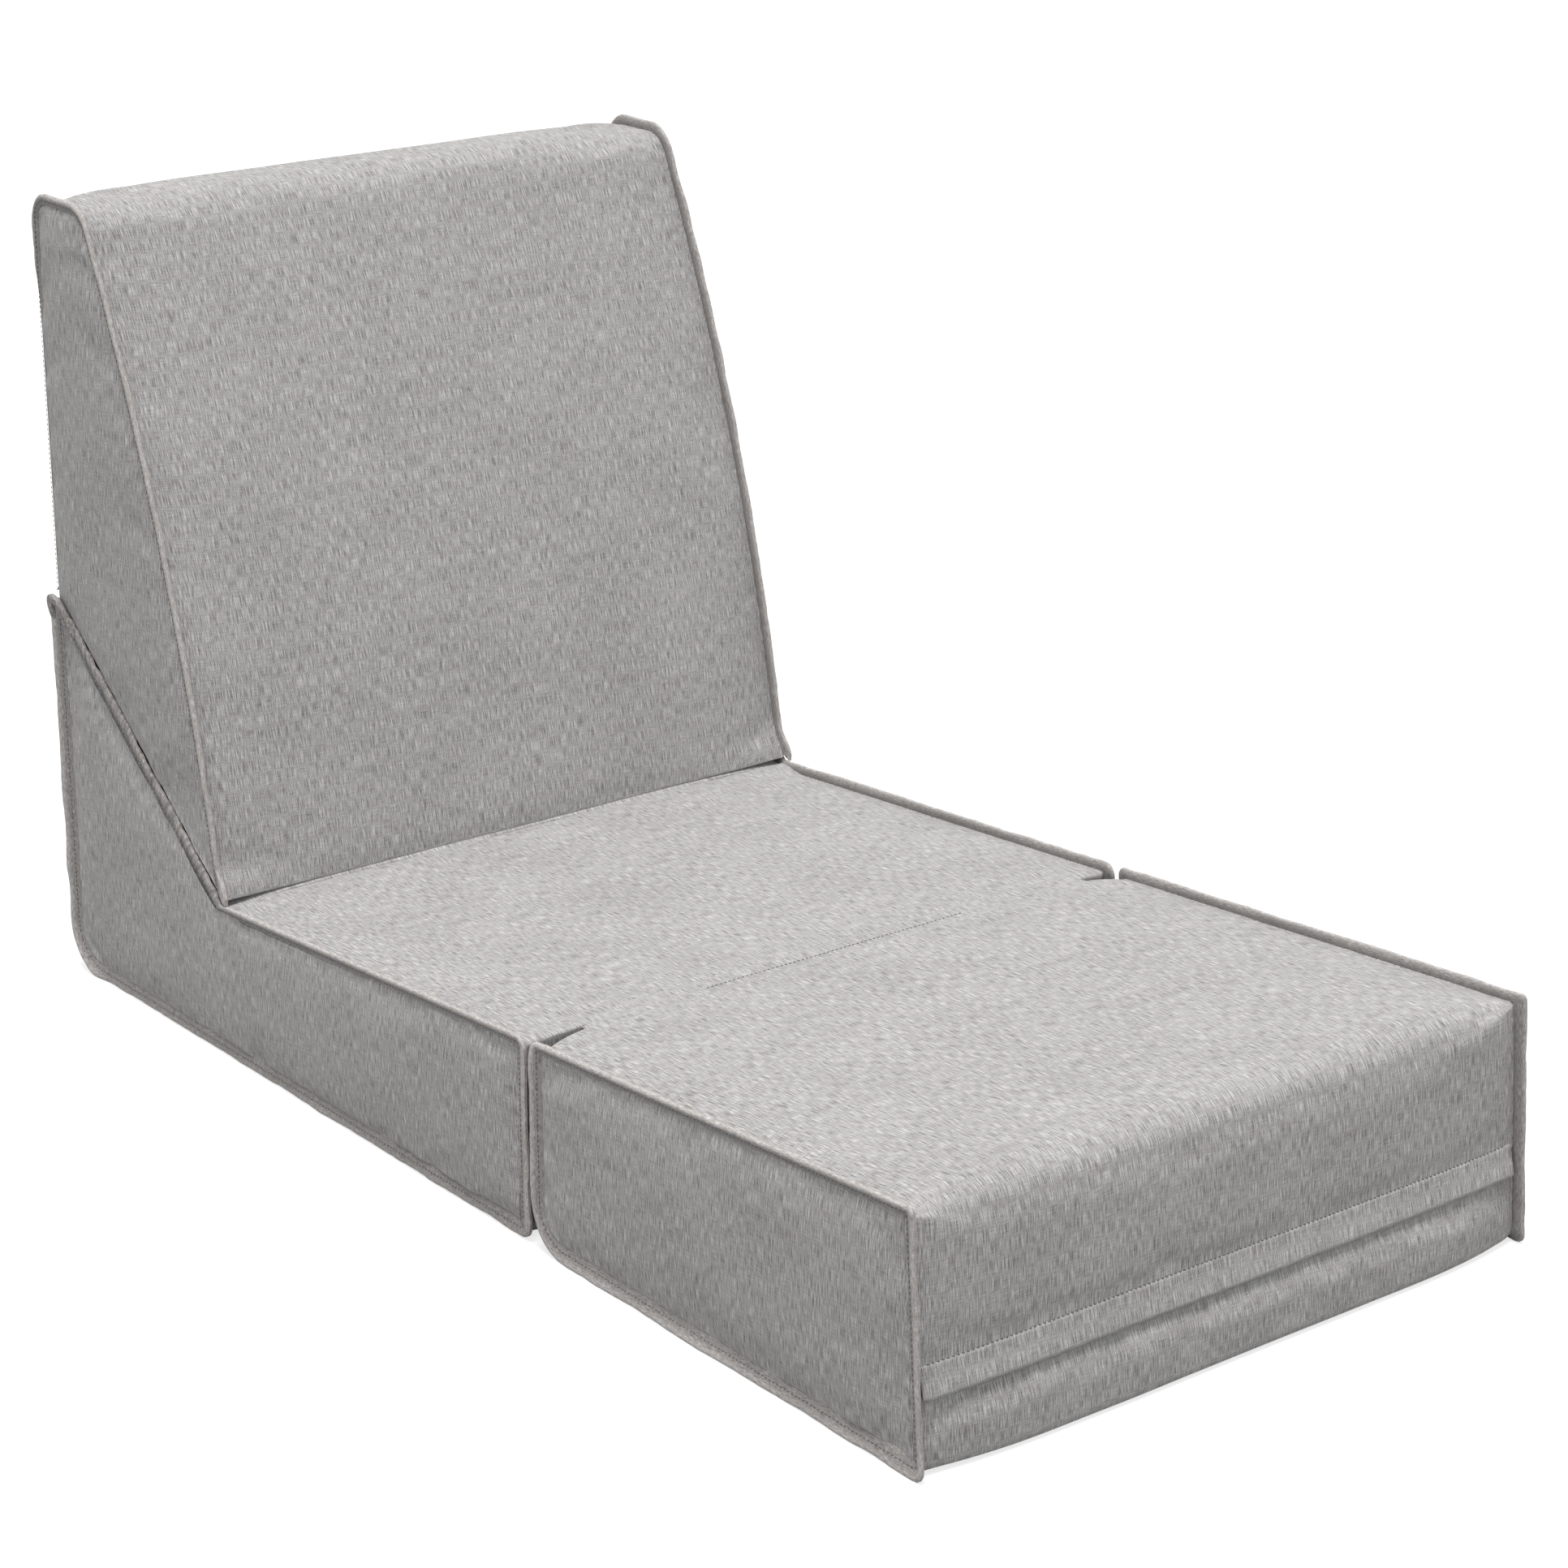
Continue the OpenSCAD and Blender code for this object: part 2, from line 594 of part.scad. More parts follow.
// Welt round the front, top and rear only: the block lies on its slope with a plain edge
module backrest_welt_right() {
    n = len(back_edge);
    a = place_of(back_k, back_s, 1) + back_k[1];
    b = n + back_k[0];
    rim = outline(back_pts, [for (e = back_pts) 0], back_flat_r, back_k, back_s);
    foot = outline(back_pts, [for (e = back_pts) seam_h], back_foot_r, back_k, back_s);
    color(welt_colour) across(cover_x + fit, half_w)
        polygon(concat([for (i = [a : b]) yz(rim)[i % n]], [for (i = [b : -1 : a]) yz(foot)[i % n]]));
}
module backrest_welt_left() {
    mirror([1, 0, 0]) backrest_welt_right();
}
module backrest_zip_flap() {
    color(cover_colour) zip_flap(back_zip, [0, -1], [1, 0]);
}
module backrest_zip_tapes() {
    color(tape_colour) zip_tapes(back_zip, [0, -1], [1, 0]);
}
module backrest_zip_teeth() {
    color(tape_colour) zip_teeth(back_zip, [0, -1], [1, 0]);
}
module backrest_zip_stops() {
    color(tape_colour) zip_stops(back_zip, [0, -1], [1, 0]);
}
module backrest_zip_slider() {
    color(brass_colour) zip_slider(back_zip, [0, -1], [1, 0]);
}

// Bead of stitched fabric along the fold
module fold_hinge_seam() {
    l = chair_w * bead_share;
    color(welt_colour) translate([-l / 2, fold_y + fold_axis[0], fold_axis[1]])
        rotate([0, 90, 0]) cylinder(h = l, r = bead_r, $fn = 32);
}

// Bead on the rear hinge line, with the strip that sews it to the base's rear
module rear_hinge_seam() {
    l = chair_w * rear_bead_share;
    y = base_depth - rear_in + fit;
    low = rear_axis[1] - hinge_tape_h;
    color(welt_colour) union() {
        translate([-l / 2, fold_y + rear_axis[0], rear_axis[1]])
            rotate([0, 90, 0]) cylinder(h = l, r = bead_r, $fn = 32);
        across(-l / 2, l / 2) polygon([
            [y, low], [y + hinge_tape_t, low], [y + hinge_tape_t, rear_axis[1]],
            [rear_axis[0], rear_axis[1]], [y, rear_axis[1] - bead_r]
        ]);
    }
}

// Strip that sews the backrest's rear to the hinge line
module backrest_hinge_tape() {
    l = chair_w * rear_bead_share;
    y = back_rear_y - rear_in + fit;
    z = rear_axis[1];
    // Just short of the base's strip, which it lies against when the backrest is flipped over
    reach = 2 * rear_axis[0] - (base_depth - rear_in + fit + hinge_tape_t + rest_gap);
    color(welt_colour) across(-l / 2, l / 2) polygon([
        [y, z], [reach, z],
        [reach, z + hinge_tape_t / 2],
        [y + hinge_tape_t, z + hinge_tape_t * 2],
        [y + hinge_tape_t, z + hinge_tape_h], [y, z + hinge_tape_h]
    ]);
}

seat_foam();
seat_top_cover();
wedge_cover();
seat_bottom_cover();
seat_side_left();
seat_side_right();
seat_welt_left();
seat_welt_right();
seat_zip_flap();
seat_zip_tapes();
seat_zip_teeth();
seat_zip_stops();
seat_zip_slider();
footrest_foam();
footrest_top_cover();
footrest_bottom_cover();
footrest_side_left();
footrest_side_right();
footrest_welt_left();
footrest_welt_right();
footrest_zip_flap();
footrest_zip_tapes();
footrest_zip_teeth();
footrest_zip_stops();
footrest_zip_slider();
backrest_foam();
backrest_front_cover();
backrest_lower_cover();
backrest_side_left();
backrest_side_right();
backrest_welt_left();
backrest_welt_right();
backrest_zip_flap();
backrest_zip_tapes();
backrest_zip_teeth();
backrest_zip_stops();
backrest_zip_slider();
fold_hinge_seam();
rear_hinge_seam();
backrest_hinge_tape();
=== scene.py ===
import json
import math

import bpy
import numpy as np
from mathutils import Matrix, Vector, noise


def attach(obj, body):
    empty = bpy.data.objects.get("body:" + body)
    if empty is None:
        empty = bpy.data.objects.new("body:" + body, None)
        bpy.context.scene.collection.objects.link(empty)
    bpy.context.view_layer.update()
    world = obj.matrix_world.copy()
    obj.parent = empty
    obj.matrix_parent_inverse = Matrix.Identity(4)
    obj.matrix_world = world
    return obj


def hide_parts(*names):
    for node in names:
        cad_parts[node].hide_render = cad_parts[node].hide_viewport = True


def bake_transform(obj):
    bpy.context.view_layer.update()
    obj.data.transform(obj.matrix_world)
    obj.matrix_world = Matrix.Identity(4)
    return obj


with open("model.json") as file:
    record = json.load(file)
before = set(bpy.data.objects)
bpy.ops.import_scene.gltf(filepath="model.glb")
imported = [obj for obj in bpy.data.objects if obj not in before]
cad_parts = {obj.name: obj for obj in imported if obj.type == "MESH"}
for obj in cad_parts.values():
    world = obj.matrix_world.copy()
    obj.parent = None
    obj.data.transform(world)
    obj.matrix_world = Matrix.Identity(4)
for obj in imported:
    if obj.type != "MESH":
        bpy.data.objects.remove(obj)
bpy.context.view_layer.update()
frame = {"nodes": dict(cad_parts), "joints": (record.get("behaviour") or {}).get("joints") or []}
nodes = frame["nodes"]
foldY = [j for j in frame["joints"] if j["name"] == "footrest_fold"][0]["pos_m"][1] * 1000
mm = 0.001

# all lengths in mm, in the side view: y from the fold line to the rear, z up
chair = {
    "halfWidth": 330, "foldHeight": 188, "seatRise": 4, "seatDepth": 497, "baseDepth": 794,
    "hingeHeight": 390, "foldGap": 6, "footrestMore": 2, "backTopDepth": 95, "backSetback": 7,
    "backBow": 23, "weltThickness": 5, "hingeIn": 3, "axisLift": 0.25,
    "topSwell": 2, "floorGap": 1.2, "restGap": 0.3,
}
zipper = {
    "flapHeight": 27, "slotHeight": 16, "slotDepth": 3, "swell": 34, "crown": 0.86,
    "baseZ": 115, "footZ": 89, "backZ": 95,         # the flaps' top edges, the backrest's from the hinge line up
}


def unit(v):
    return np.asarray(v, float) / np.linalg.norm(v)


def leftOf(v):
    return np.array([-v[1], v[0]])


def crossed(a, b):
    return a[0] * b[1] - a[1] * b[0]


# how far along a path each of its points lies
def distances(path):
    return np.concatenate([[0], np.cumsum(np.linalg.norm(np.diff(path, axis=0), axis=1))])


def eased(t):
    return t * t * (3 - 2 * t)


# 1 nearby, and from there it eases off over the run to 0 at the reach
def nearness(far, reach, run):
    return eased(np.clip((reach - far) / run, 0, 1))


# the three blocks' corners, as in the part's source
rise = math.radians(chair["seatRise"])
slopeTan = math.tan(rise)
tipZ = chair["foldHeight"] - chair["seatDepth"] * slopeTan
slopeDir = unit([chair["baseDepth"] - chair["seatDepth"], chair["hingeHeight"] - tipZ])
slopeUp = leftOf(slopeDir)
rearAxis = np.array([chair["baseDepth"], chair["hingeHeight"]]) - slopeDir * chair["hingeIn"]
rearAxis = rearAxis + slopeUp * chair["axisLift"]
footLength = chair["seatDepth"] / math.cos(rise) + chair["footrestMore"]
footDown = np.array([-math.sin(rise), -math.cos(rise)])
footTop = np.array([-footLength * math.cos(rise), chair["foldHeight"] + footLength * math.sin(rise)])
footLow = footTop + footDown * footTop[1] / math.cos(rise)
backTopZ = 2 * rearAxis[1] - chair["topSwell"] - chair["floorGap"]
backRearY = chair["baseDepth"] - chair["backSetback"]
backTip = np.array([chair["seatDepth"], tipZ]) + slopeUp * chair["restGap"]
backLow = np.array([backRearY, backTip[1] + (backRearY - backTip[0]) * slopeDir[1] / slopeDir[0]])
backFront = np.array([backRearY - chair["backTopDepth"], backTopZ])
backChord = backTip - backFront
bowRun = 0.09                       # straight run at each end of the bow, as a share
bowPeak = chair["backBow"] / (0.5 + bowRun)
bowRadius = np.linalg.norm(backChord) * (0.5 - bowRun) / (2 * bowPeak / np.linalg.norm(backChord))
bowCorner = backFront + backChord / 2 - leftOf(unit(backChord)) * bowPeak
halfGap = chair["foldGap"] / 2

corners = {
    "seat": [[halfGap, 0], [chair["baseDepth"], 0], [chair["baseDepth"], chair["hingeHeight"]],
             [chair["seatDepth"], tipZ], [halfGap, chair["foldHeight"] - slopeTan * halfGap]],
    "footrest": [footLow, [-halfGap, 0], [-halfGap, chair["foldHeight"] + slopeTan * halfGap], footTop],
    "backrest": [backTip, backLow, [backRearY, backTopZ], backFront, bowCorner],
}


def insetCorners(points, insets):
    points = [np.asarray(p, float) for p in points]
    n = len(points)
    moved = []
    for i in range(n):
        u, v = unit(points[i] - points[i - 1]), unit(points[(i + 1) % n] - points[i])
        a, b = leftOf(u) * insets[i - 1], leftOf(v) * insets[i]
        moved.append(points[i] + a + u * crossed(b - a, v) / crossed(u, v))
    return moved


def cornerArc(points, radius, steps, i):
    n = len(points)
    u, v = unit(points[i] - points[i - 1]), unit(points[(i + 1) % n] - points[i])
    turn = math.atan2(crossed(u, v), float(u @ v))
    side = 1 if turn > 0 else -1
    first = points[i] - u * radius * math.tan(abs(turn) / 2)
    centre = first + leftOf(u) * radius * side
    rows = []
    for j in range(steps + 1):
        a = turn * j / steps
        c, s = math.cos(a), math.sin(a)
        d = first - centre
        spoke = np.array([d[0] * c - d[1] * s, d[0] * s + d[1] * c])
        rows.append(np.concatenate([centre + spoke, unit(spoke) * side]))
    return rows


# rows of y, z and the outward normal; shares holds, per edge, where the rows of its straight run lie
def outline(points, insets, radii, steps, shares):
    moved = insetCorners(points, insets)
    n = len(moved)
    arcs = [cornerArc(moved, radii[i], steps[i], i) for i in range(n)]
    rows = []
    for i in range(n):
        rows += arcs[i]
        a, b = arcs[i][-1][:2], arcs[(i + 1) % n][0][:2]
        normal = -leftOf(unit(b - a))
        rows += [np.concatenate([a + (b - a) * t, normal]) for t in shares[i]]
    return np.array(rows)


def colour(hexText):
    parts = [int(hexText[i:i + 2], 16) / 255 for i in (1, 3, 5)]
    return [c / 12.92 if c <= 0.04045 else ((c + 0.055) / 1.055) ** 2.4 for c in parts] + [1]


def connect(tree, node, links):
    for socket, value in links.items():
        if isinstance(value, bpy.types.NodeSocket):
            tree.links.new(value, node.inputs[socket])
        else:
            node.inputs[socket].default_value = value


def addNode(tree, kind, links=None, **settings):
    node = tree.nodes.new(kind)
    for key, value in settings.items():
        setattr(node, key, value)
    connect(tree, node, links or {})
    return node


def newMaterial(name):
    material = bpy.data.materials.new(name)
    material.use_nodes = True
    return material, material.node_tree, material.node_tree.nodes["Principled BSDF"]


def giveMaterial(obj, material):
    obj.data.materials.clear()
    obj.data.materials.append(material)


def addMesh(name, verts, faces, coords=None):
    mesh = bpy.data.meshes.new(name)
    mesh.from_pydata([tuple(v) for v in verts], [], faces)
    if coords is not None:
        layer = mesh.uv_layers.new(name="weave")
        layer.data.foreach_set("uv", np.array(coords, np.float32).ravel())
    obj = bpy.data.objects.new(name, mesh)
    bpy.context.scene.collection.objects.link(obj)
    return obj


def only(obj):
    bpy.ops.object.select_all(action="DESELECT")
    bpy.context.view_layer.objects.active = obj
    obj.select_set(True)


def applyAll(obj):
    only(obj)
    for m in list(obj.modifiers):
        bpy.ops.object.modifier_apply(modifier=m.name)


def faceOutward(obj):
    only(obj)
    bpy.ops.object.mode_set(mode="EDIT")
    bpy.ops.mesh.select_all(action="SELECT")
    bpy.ops.mesh.normals_make_consistent(inside=False)
    bpy.ops.object.mode_set(mode="OBJECT")


def finishMesh(obj, material):
    faceOutward(obj)
    bpy.ops.object.shade_smooth()
    giveMaterial(obj, material)


def vertexValues(obj, key):
    values = np.empty(len(obj.data.vertices) * 3, np.float32)
    obj.data.vertices.foreach_get(key, values)
    return values.reshape(-1, 3).astype(float)


def place(obj, co):
    obj.data.vertices.foreach_set("co", co.astype(np.float32).ravel())
    obj.data.update()


def ripple(points, seed):
    return np.array([noise.noise(Vector(p) + Vector((seed * 7.31, seed * 3.17, seed * 5.53))) for p in points])


# polyester linen-look plain weave from two-tone slub yarn: light and dark threads broken up along
# their length, so the eye sees short streaks along the warp and fainter ones across it, and no shine
linenLook = {
    "dark": "#6c6a69", "mid": "#a9a8a7", "light": "#d9d8d7", "brown": "#87786e",
    "threadPitch": 0.7,             # mm; the real 0.5 mm threads are drawn at 0.7 mm, or they would vanish
    "slub": 14,                     # mm, the length of one light or dark piece of a thread
    "shares": (1.05, 0.4, 0.25, 0.1),         # what warp, weft, grain and broad patches give
    "patches": 11,                  # broad patches in a metre
    "contrast": 1.15, "bump": 0.35,
}


def linen(name, look, coordinates="weave", shade=1.0, crest=None):
    material, tree, shader = newMaterial(name)
    if coordinates == "weave":
        where = addNode(tree, "ShaderNodeUVMap", uv_map="weave").outputs["UV"]
    else:
        where = addNode(tree, "ShaderNodeTexCoord").outputs["Object"]
    fine, long = 1000 / look["threadPitch"], 1000 / look["slub"]

    def threads(across, along, detail, rough):
        scaled = addNode(tree, "ShaderNodeMapping", {"Vector": where, "Scale": (across, along, 260)})
        return addNode(tree, "ShaderNodeTexNoise", {"Vector": scaled.outputs["Vector"], "Scale": 1,
                       "Detail": detail, "Roughness": rough}).outputs["Fac"]

    def tint(key):
        return [c * shade for c in colour(look[key])[:3]] + [1]
    warp = threads(fine, long, 2, 0.55)
    weft = threads(long * 1.2, fine, 2, 0.55)
    grain = threads(fine * 1.1, fine * 1.1, 1, 0.5)
    patches = threads(look["patches"], look["patches"], 2, 0.5)
    flecks = threads(fine * 0.8, long * 0.9, 0, 0.5)
    total = 0.5 - 0.5 * look["contrast"] * sum(look["shares"])
    for value, share in zip((warp, weft, grain, patches), look["shares"]):
        total = addNode(tree, "ShaderNodeMath", {0: value, 1: share * look["contrast"], 2: total},
                        operation="MULTIPLY_ADD").outputs[0]
    ramp = addNode(tree, "ShaderNodeValToRGB", {"Fac": total})
    stops = ramp.color_ramp.elements
    stops[0].position, stops[0].color = 0.22, tint("dark")
    stops[1].position, stops[1].color = 0.78, tint("light")
    stops.new(0.5).color = tint("mid")
    mask = addNode(tree, "ShaderNodeMapRange", {"Value": flecks, "From Min": 0.62, "From Max": 0.74, "To Max": 0.45})
    cloth = addNode(tree, "ShaderNodeMix", {"Factor": mask.outputs["Result"], "A": ramp.outputs["Color"],
                    "B": tint("brown")}, data_type="RGBA").outputs["Result"]
    if crest:    # painted light on the welt: a painted highlight along its crest and painted shade down its flanks to its foot
        split = addNode(tree, "ShaderNodeSeparateXYZ", {"Vector": where})
        off = addNode(tree, "ShaderNodeMath", {0: split.outputs["X"], 1: crest["at"] * mm}, operation="SUBTRACT")
        off = addNode(tree, "ShaderNodeMath", {0: off.outputs[0]}, operation="ABSOLUTE")
        gathered = addNode(tree, "ShaderNodeAttribute", attribute_name="gathered").outputs["Fac"]
        paintedHighlight = addNode(tree, "ShaderNodeMapRange", {"Value": gathered, "To Min": crest["paintedHighlight"],
                       "To Max": crest["gathered"]})
        glow = addNode(tree, "ShaderNodeMapRange", {
            "Value": off.outputs[0], "From Min": crest["near"] * mm, "From Max": crest["far"] * mm,
            "To Min": paintedHighlight.outputs["Result"], "To Max": crest["dark"]}, interpolation_type="SMOOTHSTEP")
        # painted shade in small cross creases where the welt is gathered
        creases = addNode(tree, "ShaderNodeMapRange", {
            "Value": threads(1000 / crest["creaseAcross"], 1000 / crest["creaseAlong"], 1, 0.5),
            "From Min": 0.4, "From Max": 0.55, "To Min": crest["crease"], "To Max": 0})
        depth = addNode(tree, "ShaderNodeMath", {0: creases.outputs["Result"], 1: gathered}, operation="MULTIPLY")
        light = addNode(tree, "ShaderNodeMath", {0: glow.outputs["Result"], 1: depth.outputs[0]}, operation="SUBTRACT")
        cloth = addNode(tree, "ShaderNodeVectorMath", {0: cloth, "Scale": light.outputs[0]},
                        operation="SCALE").outputs["Vector"]
    relief = addNode(tree, "ShaderNodeBump", {"Height": total, "Strength": look["bump"], "Distance": 0.0006})
    connect(tree, shader, {"Base Color": cloth, "Normal": relief.outputs["Normal"], "Roughness": 0.92,
                           "Specular IOR Level": 0.25, "Sheen Weight": 0.08, "Sheen Roughness": 0.6})
    return material


linenCover = linen("linenCover", linenLook)
trimLook = dict(linenLook, slub=6, mid="#a8a4a1", contrast=0.8)
# where a welt is gathered under the backrest its crest gets less painted highlight and small cross creases get painted
# shade; lengths in mm
crestPaintedLight = {"at": 21.8, "near": 2.4, "far": 7.5, "paintedHighlight": 1.25, "dark": 0.8, "gathered": 1.02,
             "crease": 0.34, "creaseAcross": 26, "creaseAlong": 4.5}
linenTrim = linen("linenTrim", trimLook, crest=crestPaintedLight)
# the trim fabric darkened to 0.78 is painted shade, for the corner tabs
linenTrimShaded = linen("linenTrimShaded", trimLook, coordinates="object", shade=0.78)


def evenly(n):
    return [(i + 1) / (n + 1) for i in range(n)]


# rows of a straight run with a zip in it: share along the run, fullness and depth
def zipShares(length, flapTop, spacing):
    slotTop = flapTop + (zipper["flapHeight"] - zipper["slotHeight"]) / 2
    slotLow = slotTop + zipper["slotHeight"]
    down, up = flapTop - zipper["swell"], slotLow + zipper["swell"]
    low = zipper["crown"]    # what is left of the crown over the zip
    n = max(2, round(down / spacing))
    rows = [(down * (i + 1) / n, 1, 0) for i in range(n - 1)] if down > spacing else []
    first = max(down, 2)
    for d in (0, 0.2, 0.4, 0.6, 0.8, 0.93):
        rows.append((first + (flapTop - first) * d, 1 - (1 - low) * eased(d), 0))
    rows += [(flapTop, low, 0), (slotTop - 0.4, low, 0), (slotTop, low, zipper["slotDepth"]),
             (slotTop + (slotLow - slotTop) / 2, low * 0.6, zipper["slotDepth"]),
             (slotLow, low, zipper["slotDepth"]), (slotLow + 0.4, low, 0)]
    end = min(up, length - 2)
    for d in (0.12, 0.3, 0.5, 0.7, 0.86):
        rows.append((slotLow + 0.4 + (end - slotLow) * d, low + (1 - low) * eased(d), 0))
    n = max(1, round((length - end) / spacing))
    rows += [(end + (length - end) * i / n, 1, 0) for i in range(n)]
    return [(a / length, c, e) for a, c, e in rows if 0 < a < length]


# held: rows that stay put while the cloth is blown up; steps: rows round each corner; runs: rows along
# each edge; grid: the corners of the side panel's net; zipAt: edge, height and which way the edge runs
blocks = {
    "seat": {
        "held": (0, 0.5, 1.5, 2, 2.5, 3.5, 4, -0.5),
        "steps": [6, 8, 4, 2, 4],
        "edgeInsets": [3, 10, 10, 10, 10], "edgeRadii": [6, 42, 4, 1, 4],
        "midInsets": [0, 3.6, 0.3, 2.2, -1.2], "midRadii": [14, 50, 3, 1, 2],
        "grid": [0, 1, 2, 4], "runs": [None, "zip", 30, 40, None], "zipAt": (1, zipper["baseZ"], "up"),
        "body": "seat_base",
        "stands": ["seat_top_cover", "wedge_cover", "seat_bottom_cover", "seat_side_left", "seat_side_right"],
    },
    "footrest": {
        "held": (-0.5, 0, 0.5, 1, 1.5),
        "steps": [8, 8, 4, 8],
        "edgeInsets": [2.5, 10, 10, 10], "edgeRadii": [7, 35, 4, 5],
        "midInsets": [0, -1.2, 2.2, 4.4], "midRadii": [8, 45, 2, 24],
        "grid": [0, 1, 2, 3], "runs": [40, None, None, "zip"], "zipAt": (3, zipper["footZ"], "down"),
        "body": "footrest",
        "stands": ["footrest_top_cover", "footrest_bottom_cover", "footrest_side_left", "footrest_side_right"],
    },
    "backrest": {
        "held": (-0.5, 0, 0.5),
        "steps": [6, 4, 6, 8, None],
        "edgeInsets": [0, 10, 10, 10, 10], "edgeRadii": [1, 4, 16, 28, bowRadius],
        "midInsets": [0, 3.6, -1, 1.8, 0.2], "midRadii": [1, 4, 28, 44, bowRadius],
        "grid": [0, 1, 2, 3], "runs": [32, "zip", None, 4, 4],
        "zipAt": (1, zipper["backZ"] + chair["hingeHeight"], "up"),
        "body": "backrest",
        "stands": ["backrest_front_cover", "backrest_lower_cover", "backrest_side_left", "backrest_side_right"],
    },
}
columns = 52
# how squarely the cushions are crowned across, and more so near the fold; mm
crownLook = {"power": 7.0, "foldPower": 5, "foldRun": 26, "foldFrom": 60}
stations = [t * (1.22 - 0.22 * t * t) for t in np.linspace(-1, 1, columns + 1)]
# height of the welt seen round each edge of a block; the side panel starts just inside its foot and
# swells up in a round shoulder, so a dark line runs along the stitches
weltHeights = {"seat": [12, 15, 15, 8, 12], "footrest": [12, 12, 8, 9], "backrest": [0.5, 6, 8.5, 8, 8]}
panelLook = {"sunk": 0.6, "shoulder": 3.6, "full": 6.4, "run": 26, "weaveShift": 37}
# reach and run of each change near the backrest's tip, and how far it goes
meetLook = {"cover": (42, 22), "coverShare": 0.97, "swell": (90, 70), "swellOut": 2.2, "edge": (34, 22), "edgeOut": 7}
bellyLook = {"below": 66, "fade": 26, "within": 60, "run": 45, "out": 7}        # the foot end, below its zip
tuckLook = {"below": 70, "run": 60, "out": 5}       # the backrest's rear edge, down from its top


def tuckedAt(z):
    return np.clip((corners["backrest"][2][1] - tuckLook["below"] - z) / tuckLook["run"], 0, 1)


# every row of a block's outline at the side seam and at mid width, with its fullness
def blockRows(name):
    b = blocks[name]
    points, steps, grid, runs = corners[name], list(b["steps"]), b["grid"], list(b["runs"])
    n = len(points)
    edgeIndex, zipZ, way = b["zipAt"]
    moved = insetCorners(points, b["edgeInsets"])
    arcs = [cornerArc(moved, b["edgeRadii"][i], 2, i) for i in range(n)]
    a, e = arcs[edgeIndex][-1][:2], arcs[(edgeIndex + 1) % n][0][:2]
    length = np.linalg.norm(e - a)
    if way == "up":    # the run goes upwards, so the flap's lower edge comes first
        rows = [(1 - s, c, d) for s, c, d in reversed(zipShares(length, e[1] - zipZ, 12))]
    else:
        rows = zipShares(length, (a[1] - zipZ) / math.cos(rise), 12)
    shares = [None] * n
    shares[edgeIndex] = rows
    if None in steps:    # the bow of the front gets as many rows as the rear has
        other = steps[1] // 2 + len(rows) + steps[2] // 2
        steps[steps.index(None)] = other - 1 - steps[3] // 2 - runs[3] - runs[4] - steps[0] // 2
    for i in range(n):
        if isinstance(runs[i], int):
            shares[i] = [(s, 1, 0) for s in evenly(runs[i])]

    def segments(i0, i1):    # rows between two grid corners, without the unknown run
        total, i = steps[i0] // 2 + 1, i0
        while True:
            total += len(shares[i]) if shares[i] is not None else 0
            i = (i + 1) % n
            if i == i1:
                return total + steps[i] // 2
            total += steps[i] + 1
    spans = [(grid[k], grid[(k + 1) % 4]) for k in range(4)]
    for k in range(4):
        i0, i1 = spans[k]
        inside = [i for i in range(n) if (i0 <= i < i1 if i1 > i0 else i >= i0 or i < i1)]
        missing = [i for i in inside if shares[i] is None]
        if missing:
            short = segments(*spans[(k + 2) % 4]) - segments(i0, i1)
            shares[missing[0]] = [(s, 1, 0) for s in evenly(short)]
    plain = [[s for s, c, d in run] for run in shares]
    edge = outline(points, b["edgeInsets"], b["edgeRadii"], steps, plain)
    mid = outline(points, b["midInsets"], b["midRadii"], steps, plain)
    if name == "backrest":    # the cover runs on below the welt's end, down to the seat
        near = nearness(np.linalg.norm(edge[:, :2] - corners[name][0], axis=1), *meetLook["cover"])
        edge[:, :2] += (mid[:, :2] - edge[:, :2]) * meetLook["coverShare"] * near[:, None]
    if name == "seat":    # the seat swells up to meet the backrest's tip
        tip = np.linalg.norm(mid[:, :2] - corners[name][3], axis=1)
        before = mid[:, 0] < corners[name][3][0] + 0.5
        mid[:, :2] += mid[:, 2:] * (meetLook["swellOut"] * (nearness(tip, *meetLook["swell"]) * before))[:, None]
        edge[:, :2] += edge[:, 2:] * (meetLook["edgeOut"] * (nearness(tip, *meetLook["edge"]) * before))[:, None]
    slotBase = edge[:, :2].copy()
    full, depth, kind = [], [], []
    for i in range(n):
        full += [1] * (steps[i] + 1) + [c for s, c, d in shares[i]]
        depth += [0] * (steps[i] + 1) + [d for s, c, d in shares[i]]
        kind += [i - 0.5] * (steps[i] + 1) + [i] * len(shares[i])
    full, depth, kind = np.array(full, float), np.array(depth, float), np.array(kind)
    onZip = (kind == edgeIndex)
    mid[onZip, :2] = edge[onZip, :2] + edge[onZip, 2:] * (b["edgeInsets"][edgeIndex] - b["midInsets"][edgeIndex])
    if name == "footrest":
        belly = np.clip((bellyLook["below"] - mid[:, 1]) / bellyLook["fade"], 0, 1)
        belly = belly * np.clip((footLow[0] + bellyLook["within"] - mid[:, 0]) / bellyLook["run"], 0, 1)
        mid[:, 0] -= bellyLook["out"] * belly * belly * (3 - 2 * belly)
    if name == "backrest":    # the rear welt is tucked in, so the panel reaches the rear face
        tucked = ((kind == 1) | (kind == 0.5)) * tuckedAt(edge[:, 1])
        edge[:, :2] += edge[:, 2:] * (tuckLook["out"] * tucked)[:, None]
    sizes = [steps[i] + 1 + len(shares[i]) for i in range(n)]
    gridRows = [sum(sizes[:i]) + steps[i] // 2 for i in grid]
    return edge, mid, full, depth, kind, gridRows, slotBase


def crownAt(u, power):
    return 1 - abs(u) ** power


# corners of each square in a net
def squares(rows, across):
    return [[(i, k), (i + 1, k), (i + 1, k + 1), (i, k + 1)] for i in range(rows - 1) for k in range(across - 1)]


